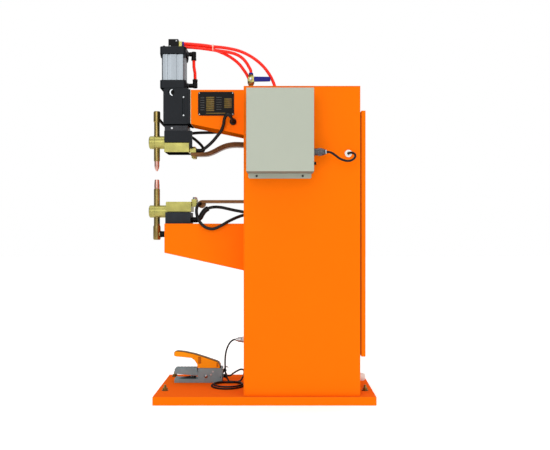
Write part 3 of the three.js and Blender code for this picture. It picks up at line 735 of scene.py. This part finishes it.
bm = bmesh.new()
add_prism(bm, rounded((-253, 1057), (-117, 1147), 8), -61.4, -60.1)
make("info_plate", bm, BLACK_PLASTIC, edge=0.3)
bm = bmesh.new()
for row in range(7):
    add_prism(bm, rounded((-222, 1074 + row * 8), (-192, 1080 + row * 8), 0.8, 2), *INFO_PRINT)
for row in range(5):
    add_prism(bm, rounded((-154, 1086 + row * 7.6), (-126, 1091.6 + row * 7.6), 0.8, 2),
              *INFO_PRINT)
add_prism(bm, rounded((-222, 1064), (-150, 1068), 0.8, 2), *INFO_PRINT)
make("info_plate_bars", bm, GOLD_PRINT, edge=0)
bm = bmesh.new()
for row in range(6):
    add_prism(bm, rounded((-244, 1078 + row * 9), (-229, 1079.6 + row * 9), 0.4, 2),
              *INFO_LINES)
    add_prism(bm, rounded((-184, 1080 + row * 9), (-164, 1081.4 + row * 9), 0.4, 2),
              *INFO_LINES)
make("info_plate_lines", bm, PALE_PRINT, edge=0)
bm = bmesh.new()
for x in (-248, -122):
    for z in (1062, 1142):
        add_lathe(bm, [(0, 0), (2.6, 0), (2.2, 0.9), (1, 1.4), (0, 1.4)], (x, -61.4, z), "-y", 20)
make("info_plate_rivets", bm, STEEL, edge=0)

# ---- Air cylinder details ----

# A steel lining in the port, drawn only as the crescent on its left where it catches the light: a
# painted highlight.
bm = bmesh.new()
arc = [math.radians(95 + 170 * i / 20) for i in range(21)]
outline = [(-350 + 12 * math.cos(a), 1147 + 12.5 * math.sin(a)) for a in arc]
outline += [(-349 + 8 * math.cos(a), 1147 + 10 * math.sin(a)) for a in reversed(arc)]
add_prism(bm, outline, -49.8, -45.1)
make("port_lining_highlight", bm, STEEL, edge=0.3)
bm = bmesh.new()
add_lathe(bm, [(0, 0.2), (8.6, 0.2), (8.6, 3.2), (8, 3.6), (4, 3.6), (3.8, 2, "hex"), (0, 2)],
          (-347.6, -44.9, 1147), "-y", 40)
make("port_plug", bm, BLACK_PLASTIC, edge=0)

bm = bmesh.new()
add_prism(bm, rounded((-61.5, 1028), (61.5, 1155.5), 3), -281.6, -279.7, "x")
make("mount_gasket", bm, GASKET, edge=0.2)

bm = bmesh.new()
for y in (-40, 40):
    add_prism(bm, [(-398.5, 1293.9), (-393.3, 1293.9), (-393.3, 1281), (-395, 1279)], y - 6, y + 6)
    add_prism(bm, [(-301.5, 1293.9), (-306.7, 1293.9), (-306.7, 1281), (-305, 1279)], y - 6, y + 6)
make("top_cap_ears", bm, CHARCOAL)

bm = bmesh.new()
add_prism(bm, rounded((-11.5, 1323.6), (16.5, 1351.4), 6), -332.9, -320, "x")
make("manifold_fitting", bm, BRASS, edge=1.2)
bm = bmesh.new()
add_prism(bm, rounded((-10.8, 1324.4), (15.8, 1350.6), 6.4), -319.8, -312.5, "x")
make("release_collar", bm, BLUE, edge=1.4)

for elbow_name, leg_axis, leg, centre in (
    ("upper_elbow", "-z", -276, 1303), ("lower_elbow", "z", -271, 1182),
):
    bm = bmesh.new()
    add_lathe(bm, [(0, 0), (8, 0, "hex"), (8, 6, "hex"), (7, 7), (0, 7)],
              (-300.7, 0, centre), "x", 24)
    make(f"{elbow_name}_nut", bm, DARK_STEEL)
    bm = bmesh.new()
    add_lathe(bm, [(0, 0), (7.6, 0), (8.4, 3), (8.4, leg + 301), (0, leg + 301)],
              (-293.6, 0, centre), "x", 32)
    add_lathe(bm, [
        (0, -9), (8, -9), (9.4, -7.4), (9.4, 12), (8.8, 13), (8.8, 15), (9.8, 16), (9.8, 23.4),
        (9, 24), (0, 24),
    ], (leg, 0, centre), leg_axis, 32)
    make(f"{elbow_name}_body", bm, BLACK_PLASTIC, replaces=[elbow_name], edge=0.5)

# ---- Hoses ----

WATER_FEED = [
    (-121, -69.5, 1034), (-122, -80, 1037), (-129, -88, 1050), (-140, -89, 1056), (-150, -85, 1046),
    (-156, -76, 1020), (-165, -66, 1000), (-181, -56, 981), (-201, -46, 960), (-224, -38, 941),
    (-240, -27, 933), (-251, -20, 930), (-263.4, -20, 930),
]
WATER_LINK = [
    (-263.4, 18, 930), (-252, 18, 930), (-241, 27, 936), (-249, 46, 954), (-266, 56, 972),
    (-289, 59, 990), (-318, 60, 1003), (-348, 61, 1012), (-372, 61, 1022), (-392, 59, 1033),
    (-406, 52, 1046), (-415, 42, 1058), (-418, 31, 1062), (-418, 19.5, 1062),
]
WATER_RETURN = [
    (-365, 45.6, 982), (-365, 57, 982.5), (-354, 71, 989), (-335, 76, 998), (-305, 76, 1007),
    (-270, 75, 1011), (-238, 75, 1012), (-206, 77, 1013), (-176, 80, 1016), (-150, 86, 1022),
    (-134, 86, 1028), (-124, 78, 1033), (-121, 69, 1034), (-121, 60.3, 1034),
]
LOWER_FEED = [
    (-70, -14, 692), (-90, -13, 697), (-117, -11, 702), (-144, -10, 708), (-167, -9, 713),
    (-194, -8, 715), (-217, -7, 711), (-233, -6, 701), (-243, -5, 688), (-251, -5, 674),
    (-262, -5, 666.4), (-273, -5, 666), (-283.6, -5, 666),
]
LOWER_RETURN = [
    (-70, -40, 686), (-92, -48, 680), (-114, -60, 671), (-138, -70, 659), (-165, -75, 643),
    (-195, -76, 631), (-222, -73, 636), (-244, -66, 655), (-256, -58, 678), (-260, -50, 700),
    (-258, -42, 716), (-253, -33, 726), (-250, -25, 728), (-250, -14.8, 728),
]


def hose(name, route, radius, finish, body, replaces=(), steps=6, stretch=(0, 1)):
    bm = bmesh.new()
    line = part_of(smooth_path(route, steps), *stretch)
    up = (0, 0, 1) if abs((line[1] - line[0]).normalized().z) < 0.9 else (0, 1, 0)
    add_sweep(bm, line, circle(radius, 20), up)
    return make(name, bm, finish, body, replaces, edge=0)


hose("water_link", WATER_LINK, 5.6, RUBBER, "ram", ["water_hose_link"])
hose("lower_water_feed", LOWER_FEED, 5.8, RUBBER, "root", ["water_hose_lower_feed"])
hose("lower_water_return", LOWER_RETURN, 5.8, RUBBER, "root", ["water_hose_lower_return"])
hose("lower_feed_sleeve", LOWER_FEED, 10, RUBBER, "root", stretch=(0.52, 0.92))
blended = hose("water_feed", WATER_FEED, 6, RUBBER, None, ["water_hose_feed"], steps=8)
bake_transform(blended)
blended = hose("water_return", WATER_RETURN, 5.8, RUBBER, None, ["water_hose_return"], steps=8)
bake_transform(blended)


def shunt():
    """The upper conductor: copper foils that bend between the column and the ram."""
    centre = smooth_path([
        (-284, 0, 916), (-262, 0, 916), (-240, 0, 916.5), (-220, 0, 919), (-197, 0, 928),
        (-172, 0, 941), (-148, 0, 950), (-122, 0, 954), (-98, 0, 954), (-75, 0, 953), (-36, 0, 953),
    ], 6)
    bm = bmesh.new()
    foils = 8
    for k in range(foils):
        offset = -5.2 + 10.4 * k / (foils - 1)
        bow = 0.35 * math.sin(k * 1.7)
        spread = []
        for i, at in enumerate(centre):
            share = i / (len(centre) - 1)
            ahead = centre[min(i + 1, len(centre) - 1)] - centre[max(i - 1, 0)]
            normal = Vector((-ahead.z, 0, ahead.x)).normalized()
            middle = math.sin(math.pi * min(1, max(0, (share - 0.12) / 0.8)))
            fan = 0.85 + 0.6 * min(1, share * 1.4)
            spread.append(at + normal * (offset * fan + bow * middle))
        width = 27.6 - 0.25 * (k % 3)
        add_sweep(bm, spread, [(-width, -0.8), (width, -0.8), (width, 0.8), (-width, 0.8)],
                  (0, 0, 1))
    piece = make("flexible_shunt", bm, COPPER, None, ["upper_shunt"], edge=0)
    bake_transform(piece)
    bm = bmesh.new()
    add_prism(bm, [
        (-283.6, 910.9), (-256, 910.9), (-253, 912), (-253, 920.4), (-256, 921.4), (-283.6, 921.4),
    ], -28, 28)
    make("shunt_ram_end", bm, COPPER, "ram", edge=0.6)


shunt()

bm = bmesh.new()
add_box(bm, (-379, -292), (-43, 43), (920, 921.8))
make("insulating_shim", bm, BLACK_PLASTIC, "ram", edge=0.6)

bm = bmesh.new()
for y in (-20, 18):
    add_lathe(bm, [(0, 0), (7.6, 0), (7.6, 6), (6.9, 7), (7.4, 8), (7.4, 20), (6, 21), (0, 21)],
              (-263.6, y, 930), "x", 28)
make("ram_hose_sleeves", bm, BLACK_PLASTIC, "ram", edge=0.4)

bm = bmesh.new()
add_lathe(bm, [(0, 0), (10.6, 0), (10.6, 20), (9.6, 25), (0, 25)], (-283.8, -5, 666), "x", 28)
add_lathe(bm, [(0, 0), (6.8, 0), (6.8, 5), (6.2, 6), (6.2, 11), (0, 11)],
          (-250, -14.2, 728), "-y", 28)
make("lower_hose_sleeves", bm, BLACK_PLASTIC, edge=0.4)

bm = bmesh.new()
add_lathe(bm, [
    (0, 0), (12.4, 0), (12.4, 5), (11.6, 6), (11.6, 18), (12.4, 19), (12.4, 25), (0, 25),
], (-405.4, 0, 611), "x", 32)
make("lower_stub_sleeve", bm, BLACK_PLASTIC, edge=0.4)

bm = bmesh.new()
add_lathe(bm, [(6.2, 0.3), (13, 0.3), (13, 3), (11, 6), (7.6, 8), (6.2, 8), (6.2, 0.3)],
          (ARM_HOSE_X, 60, ARM_HOSE_Z), "y", 32)
make("far_arm_grommet", bm, RUBBER, edge=0)


def hose_tie():
    """A strap round the three red hoses, pulled into the shape of their bundle."""
    bm = bmesh.new()
    centres = [Vector((-3, 1334)), Vector((-3, 1321)), Vector((10, 1326))]
    loops = []
    for x, radius in ((-203.6, 6.3), (-203.6, 7.3), (-200.4, 7.3), (-200.4, 6.3)):
        slope = (x + 202) * -0.14
        loop = []
        for i in range(48):
            angle = 2 * math.pi * i / 48
            out = Vector((math.cos(angle), math.sin(angle)))
            hub = max(centres, key=lambda c: c.dot(out))
            spot = hub + out * radius
            loop.append((x, spot.x, spot.y - slope))
        loops.append(loop)
    add_rings(bm, loops + [loops[0]], close_ends=False)
    bmesh.ops.remove_doubles(bm, verts=bm.verts, dist=1e-4)
    add_box(bm, (-205, -199), (-12.6, -9), (1330, 1336))
    make("hose_tie", bm, CLEAR_PLASTIC, edge=0.2)


hose_tie()

# ---- Ball valve ----

bm = bmesh.new()
add_lathe(bm, [
    (0, 0), (7.8, 0), (7.8, 8), (7.4, 8.6), (7.8, 9.2), (7.8, 36), (9.5, 37, "hex"),
    (9.5, 47, "hex"), (8.6, 48), (10.5, 51), (12.6, 55), (13.2, 60), (13.2, 70), (12, 75),
    (9.4, 76, "hex"), (9.4, 88, "hex"), (8.4, 89), (8, 89.4), (0, 89.4),
], (VALVE_X, 0, 1135), "z", 48)
add_lathe(bm, [(0, 0), (7.4, 0), (7.4, 9), (6.4, 10), (0, 10)], (VALVE_X, -9, VALVE_Z), "-y", 32)
make("ball_valve", bm, HOLDER_BRASS, replaces=["ball_valve_body"], edge=0.4)
bm = bmesh.new()
add_lathe(bm, [(0, 0), (8.2, 0), (8.8, 1), (8.8, 5), (7.4, 6.4), (6.2, 6.8), (0, 6.8)],
          (VALVE_X, 0, 1224.6), "z", 36)
make("valve_collar", bm, BLUE, edge=0.3)
bm = bmesh.new()
add_lathe(bm, [(0, 0), (5.6, 0, "hex"), (5.6, 3.4, "hex"), (5, 4), (3, 4.2), (3, 5.6), (0, 5.6)],
          (VALVE_X, -23, VALVE_Z), "-y", 24)
make("lever_nut", bm, STEEL, "valve_lever", edge=0.3)
bm = bmesh.new()
add_prism(bm, [
    (-65.4, 1194.6), (-50, 1192.6), (-44, 1192.7), (-44, 1213.2), (-50, 1213.4), (-65.4, 1210.4),
], -23.4, -22.9)
make("lever_hub", bm, BRASS, "valve_lever", edge=0.1)

# ---- Control box ----

bm = bmesh.new()
add_lathe(bm, [
    (0, 0), (8, 0), (8, 2), (7, 3), (5.4, 3.2), (5.4, 8), (5, 9.4), (1.6, 9.6), (1.4, 9), (0, 9),
], (173.2, -235, 861), "x", 32)
make("fuse_holder", bm, BLACK_PLASTIC, edge=0)

bm = bmesh.new()
add_prism(bm, rounded((-277, 903), (-197, 1098), 5), -61.9, -61.1, "x")
make("control_overlay", bm, BLACK_PLASTIC, edge=0.2)
bm = bmesh.new()
add_prism(bm, rounded((-267, 1052), (-207, 1084), 2.5), -62.6, -61.8, "x")
make("control_display", bm, SCREEN, edge=0.3)
bm = bmesh.new()
for column in range(3):
    for row in range(3):
        y = -262 + 21 * column
        z = 915 + 22 * row
        add_prism(bm, rounded((y, z), (y + 13, z + 12), 3), -63.2, -61.8, "x")
make("control_keys", bm, GREY, edge=0.5)
bm = bmesh.new()
for column in range(6):
    add_lathe(bm, [(0, 0), (2.2, 0), (2.2, 0.8), (1.4, 1.6), (0, 1.8)],
              (-61.8, -262 + 10 * column, 1040), "-x", 16)
make("control_lamps", bm, RED, edge=0)
bm = bmesh.new()
for row in range(3):
    rise = 22 * row
    add_prism(bm, rounded((-266, 930.5 + rise), (-208, 931.3 + rise), 0.3, 2), *BOX_PRINT, "x")
add_prism(bm, rounded((-266, 1025), (-208, 1027), 0.6, 2), *BOX_PRINT, "x")
make("control_print", bm, PALE_PRINT, edge=0)


def knurled(bm, origin, axis, low, high, radius, teeth=40, depth=0.5):
    """A gripping ring: a turned band with fine lengthwise teeth."""
    matrix = placed(axis, origin)
    rings = []
    for distance, k in ((low, 0), (low + 0.6, 1), (high - 0.6, 1), (high, 0)):
        ring = []
        for i in range(teeth * 2):
            r = radius - 0.7 * (1 - k) - (depth * k if i % 2 else 0)
            angle = math.pi * i / teeth
            ring.append(matrix @ Vector((r * math.cos(angle), r * math.sin(angle), distance)))
        rings.append(ring)
    add_rings(bm, rings)


def signal_plug():
    """A panel socket with its flange and the cable plug screwed onto it, along +X."""
    origin = SIGNAL_PLUG
    bm = bmesh.new()
    add_lathe(bm, [
        (0, 0), (14.6, 0), (14.6, 2.4), (14.2, 3), (12, 3), (12, 6), (12.6, 7), (12.6, 15),
        (11, 16), (11, 30), (12.2, 31), (11.6, 38), (8.4, 41), (6.6, 42), (0, 42),
    ], origin, "x", 48)
    knurled(bm, origin, "x", 16.2, 30, 13.9, 20, 1.4)
    for turn in range(4):
        angle = math.radians(45 + 90 * turn)
        at = (origin[0] + 3, origin[1] + 11.8 * math.cos(angle), origin[2] + 11.8 * math.sin(angle))
        add_lathe(bm, [(0, -1), (1.6, -1), (1.3, 1), (0, 1.1)], at, "x", 12)
    make("signal_plug", bm, CONNECTOR, replaces=["signal_connector"], edge=0.25)
    bm = bmesh.new()
    add_lathe(bm, [
        (0, 41), (6, 41), (5.8, 44), (5, 44.6), (5.4, 45.4), (4.8, 46.4), (5, 47), (4.3, 50),
        (0, 50),
    ], origin, "x", 32)
    make("signal_plug_relief", bm, RUBBER, edge=0)
    bm = bmesh.new()
    add_lathe(bm, [
        (6.1, 41.6), (8.6, 41.6), (8.9, 42.4), (8.9, 45), (8.4, 45.8), (6.1, 45.8), (6.1, 41.6),
    ], origin, "x", 32)
    make("signal_plug_ring", bm, STEEL, edge=0)


signal_plug()

# ---- Foot switch ----

bm = bmesh.new()
add_lathe(bm, [(0, 0), (6, 0), (7, 8), (10, 10), (10, 22), (8, 23), (0, 23)], FOOT_PLUG, "x", 40)
knurled(bm, FOOT_PLUG, "x", 23, 37, 11.6)
add_lathe(bm, [(0, 36), (10, 36), (13.6, 38.4), (13.6, 42.4), (0, 42.4)], FOOT_PLUG, "x", 40)
add_lathe(bm, [(0, 42), (8, 42), (8, 48.8), (0, 48.8)], FOOT_PLUG, "x", 32)
make("foot_plug", bm, STEEL, replaces=["foot_cable_connector"], edge=0.25)

bm = bmesh.new()
for y, axis in ((SWITCH_NEAR - 0.1, "-y"), (SWITCH_FAR + 0.1, "y")):
    add_lathe(bm, [(0, -0.4), (7, -0.4), (6.6, 1.4), (3.6, 1.8), (3.4, 2.8), (0, 3)],
              (TREADLE_PIN_X, y, TREADLE_PIN_Z), axis, 32)
make("treadle_pin_heads", bm, STEEL, edge=0)

bm = bmesh.new()
for k in range(6):
    x = -350 + k * 13
    add_prism(bm, [(x, 84.8), (x + 1, 86), (x + 6, 86), (x + 7, 84.8)], 50, 84)
make("treadle_grip", bm, CAST, "treadle", edge=0.3)

bm = bmesh.new()
add_prism(bm, [(-338, 44.6), (-276, 44.6), (-276, 50), (-298, 49.6)], 52, 58)
add_prism(bm, [(-338, 44.6), (-276, 44.6), (-276, 50), (-298, 49.6)], 76, 82)
make("switch_bellows", bm, RUBBER, edge=0.4)


def return_spring():
    """The coil spring that lifts the pedal."""
    bm = bmesh.new()
    coils, steps = 6, 16
    line = []
    for i in range(coils * steps + 1):
        angle = 2 * math.pi * i / steps
        rise = 44.6 + 16.5 * i / (coils * steps)
        line.append((-290 + 5.2 * math.cos(angle), 67 + 5.2 * math.sin(angle), rise))
    add_sweep(bm, line, circle(0.8, 8), (0, 0, 1))
    make("return_spring", bm, STEEL, edge=0)


return_spring()

# The guard over the pedal: its crown falls away by GUARD_DROP towards the far side.
GUARD_DROP = 5
GUARD_TOP = [
    (-357, 136), (-357.2, 148), (-354.5, 152), (-348, 153.4), (-321, 150.6), (-279, 141.6),
    (-236, 128), (-194, 113.5), (-185.4, 109), (-179.6, 96), (-179, 88),
]
GUARD_LOW = [(-266, 88), (-268, 103), (-278, 118), (-290, 127), (-352, 133)]


def guard_ring(y, drop, lift, thick):
    """The guard's top sheet, cut across at y. Drop lowers its crown; lift moves its skin out."""
    outer, inner = [], []
    last = len(GUARD_TOP) - 1
    for i, (x, z) in enumerate(GUARD_TOP):
        before = Vector(GUARD_TOP[max(i - 1, 0)])
        after = Vector(GUARD_TOP[min(i + 1, last)])
        along = (after - before).normalized()
        out = Vector((-along.y, along.x))
        sunk = drop if 0 < i < last else 0
        outer.append((x + out.x * lift, y, z + out.y * lift - sunk))
        inner.append((x - out.x * thick, y, z - out.y * thick - sunk))
    return outer + inner[::-1]


bm = bmesh.new()
add_prism(bm, GUARD_TOP + GUARD_LOW, SWITCH_NEAR, SWITCH_NEAR + 3)
far_side = [(x, z - GUARD_DROP if z > 96 else z) for x, z in GUARD_TOP]
add_prism(bm, far_side + GUARD_LOW, SWITCH_FAR - 3, SWITCH_FAR)
add_rings(bm, [
    guard_ring(SWITCH_NEAR + 0.4, 0, -0.1, 3), guard_ring(55, 0.4, -0.1, 3),
    guard_ring(SWITCH_FAR - 0.4, GUARD_DROP, -0.1, 3),
])
make("pedal_guard", bm, AMBER, replaces=["foot_switch_hood"], edge=0.8)
# A thin dark olive skin over the guard's top: painted shade.
bm = bmesh.new()
add_rings(bm, [
    guard_ring(SWITCH_NEAR - 0.2, 0, 0.5, 0.3), guard_ring(55, 0.4, 0.5, 0.3),
    guard_ring(SWITCH_FAR + 0.2, GUARD_DROP, 0.5, 0.3),
])
make("hood_top_shade_band", bm, AMBER_SHADOW, edge=0)

# The ribs on the guard's near side, in darker amber as painted shade.
bm = bmesh.new()
add_prism(bm, rounded((-264, 105), (-252, 132), 2, 3), SWITCH_NEAR - 1.1, SWITCH_NEAR + 0.2)
add_prism(bm, rounded((-192, 92), (-185.5, 108), 2, 3), SWITCH_NEAR - 0.9, SWITCH_NEAR + 0.2)
make("hood_rib", bm, AMBER_RIB_SHADE, edge=0.4)

bm = bmesh.new()
for x, z in ((-214, 62), (-206, 74)):
    socket_screw(bm, (x, SWITCH_NEAR, z), "-y", 7, 2)
make("switch_screws", bm, STEEL, edge=0.1)

bm = bmesh.new()
add_lathe(bm, [
    (0, 0), (9, 0, "hex"), (9, 5, "hex"), (7.6, 6), (6.8, 14), (5.6, 20), (4, 21), (0, 21),
], (-153.4, 67, 52), "-x", 32)
make("switch_gland", bm, BLACK_PLASTIC, edge=0.3)


def cable_tie():
    """A strap that gathers the foot lead by the switch, with its head and free tail."""
    bm = bmesh.new()
    rings = []
    for dz, radius in ((-2.2, 4.1), (2.2, 4.1), (2.2, 5.1), (-2.2, 5.1), (-2.2, 4.1)):
        rings.append([(-159 + radius * math.cos(a), 58 + radius * math.sin(a), 76 + dz)
                      for a in [2 * math.pi * i / 28 for i in range(28)]])
    add_rings(bm, rings, close_ends=False)
    bmesh.ops.remove_doubles(bm, verts=bm.verts, dist=1e-4)
    add_box(bm, (-167, -159), (49, 54), (70, 82))
    strap = [(-1.9, -0.5), (1.9, -0.5), (1.9, 0.5), (-1.9, 0.5)]
    for tail in (
        [(-163, 50.5, 81), (-160, 48, 88), (-153, 45, 92), (-146, 43, 90)],
        [(-164, 50, 71), (-168, 46, 64), (-173, 42, 58), (-177, 38, 50)],
    ):
        add_sweep(bm, smooth_path(tail, 5), strap, (0, 1, 1))
    make("lead_tie", bm, BLACK_PLASTIC, edge=0.15)


cable_tie()

# ---- Column details ----

bm = bmesh.new()
add_prism(bm, rounded((-54, 924), (54, 982), 4), COLUMN_FRONT - 3.3, COLUMN_FRONT, "x")
add_prism(bm, rounded((-54, 674), (54, 766), 4), COLUMN_FRONT - 3.3, COLUMN_FRONT, "x")
make("conductor_plates", bm, BLACK_PLASTIC, edge=0.4)
bm = bmesh.new()
for y in (-46, 46):
    for z in (932, 974, 682, 706, 747):
        socket_screw(bm, (COLUMN_FRONT - 3.3, y, z), "-x", 7, 3)
make("conductor_plate_screws", bm, DARK_STEEL, edge=0.1)

# The seal round the door: its red-brown stands for a silicone seal and also for the shade in the
# door gap, so it is partly painted shade.
bm = bmesh.new()
for y, z in (
    ((-172, -166), (176, 1050)), ((166, 172), (176, 1050)), ((-166, 166), (176, 182)),
    ((-166, 166), (1044, 1050)),
):
    add_box(bm, (344.2, 348.8), y, z)
make("door_seal", bm, SEAL_AND_GAP_SHADE, edge=0.4)

# Three knuckle hinges at the door's far edge, on the joint's axis: the middle barrel turns.
for part_name, body_name in (("hinge_door_leaves", "door"), ("hinge_frame_leaves", "root")):
    on_door = body_name == "door"
    bm = bmesh.new()
    for z in (260, 610, 960):
        spans = [(z - 12, z + 12)] if on_door else [(z - 36, z - 12.6), (z + 12.6, z + 36)]
        for low, high in spans:
            add_lathe(bm, [
                (0, low), (3.3, low), (3.6, low + 0.4), (3.6, high - 0.4), (3.3, high), (0, high),
            ], (HINGE_X, HINGE_Y, 0), "z", 24)
            if on_door:
                add_box(bm, (HINGE_X, 350.5), (175.2, 177.4), (low, high))
            else:
                add_box(bm, (338, HINGE_X), (180.1, 181.4), (low, high))
    make(part_name, bm, STEEL, body_name, edge=0.25)

# ---- Floor, light and background ----

FLOOR_HALF = 14
FLOOR_GLOW = 0.34
# Each lamp: its name, place, the point it faces, its two sizes in metres, and its power in watts.
LAMPS = [
    ("key", (-0.8, -3.5, 1.9), (0, 0, 0.7), (2.2, 1.8), 24),
    ("fill", (2.6, -2.6, 1.6), (0, 0, 0.7), (1.4, 2.2), 11),
    ("top", (0.2, -0.4, 3.4), (0, 0, 0.6), (2.4, 1.6), 24),
]


def studio():
    """White paper under the machine, three soft lamps, and a room that is dimmer at its sides."""
    bm = bmesh.new()
    bmesh.ops.create_grid(bm, x_segments=8, y_segments=8, size=FLOOR_HALF)
    data = bpy.data.meshes.new("studio_floor")
    bm.to_mesh(data)
    bm.free()
    paper = material("studio_floor", srgb(250, 250, 250), 0.8, vary=0.004, cloud=2,
                     grain=60, bump=0)
    glow = paper.node_tree.nodes["Principled BSDF"]
    glow.inputs["Emission Color"].default_value = (1, 1, 1, 1)
    glow.inputs["Emission Strength"].default_value = FLOOR_GLOW
    data.materials.append(paper)
    floor = bpy.data.objects.new("studio_floor", data)
    floor.location.z = -0.0005  # just under the plate, so that the two do not flicker
    SCENE.collection.objects.link(floor)

    for name, place, aim, size, power in LAMPS:
        data = bpy.data.lights.new(name, "AREA")
        data.shape = "RECTANGLE"
        data.size, data.size_y = size
        data.energy = power
        lamp = bpy.data.objects.new(name, data)
        lamp.location = place
        lamp.rotation_euler = (Vector(aim) - Vector(place)).to_track_quat("-Z", "Y").to_euler()
        SCENE.collection.objects.link(lamp)

    world = bpy.data.worlds.new("studio")
    world.use_nodes = True
    tree = Wiring(world.node_tree)
    room = tree.nodes["Background"]
    room.inputs["Color"].default_value = (1, 1, 1, 1)
    way = tree.split(tree.nodes.new("ShaderNodeTexCoord").outputs["Generated"])
    up = tree.remap(way["Z"], source=(-0.2, 0.8), target=(0.5, 0.95))
    side = tree.remap(tree.math("ABSOLUTE", way["X"]), source=(0.2, 0.95), target=(1.1, 0.3))
    tree.feed(tree.math("MULTIPLY", up, side), room.inputs["Strength"])
    white = tree.nodes.new("ShaderNodeBackground")
    white.inputs["Color"].default_value = (1, 1, 1, 1)
    pick = tree.nodes.new("ShaderNodeMixShader")
    tree.feed(tree.nodes.new("ShaderNodeLightPath").outputs["Is Camera Ray"], pick.inputs["Fac"])
    tree.feed(room.outputs["Background"], pick.inputs[1])
    tree.feed(white.outputs["Background"], pick.inputs[2])
    tree.feed(pick.outputs["Shader"], tree.nodes["World Output"].inputs["Surface"])
    SCENE.world = world
    SCENE.view_settings.view_transform = "Standard"


studio()
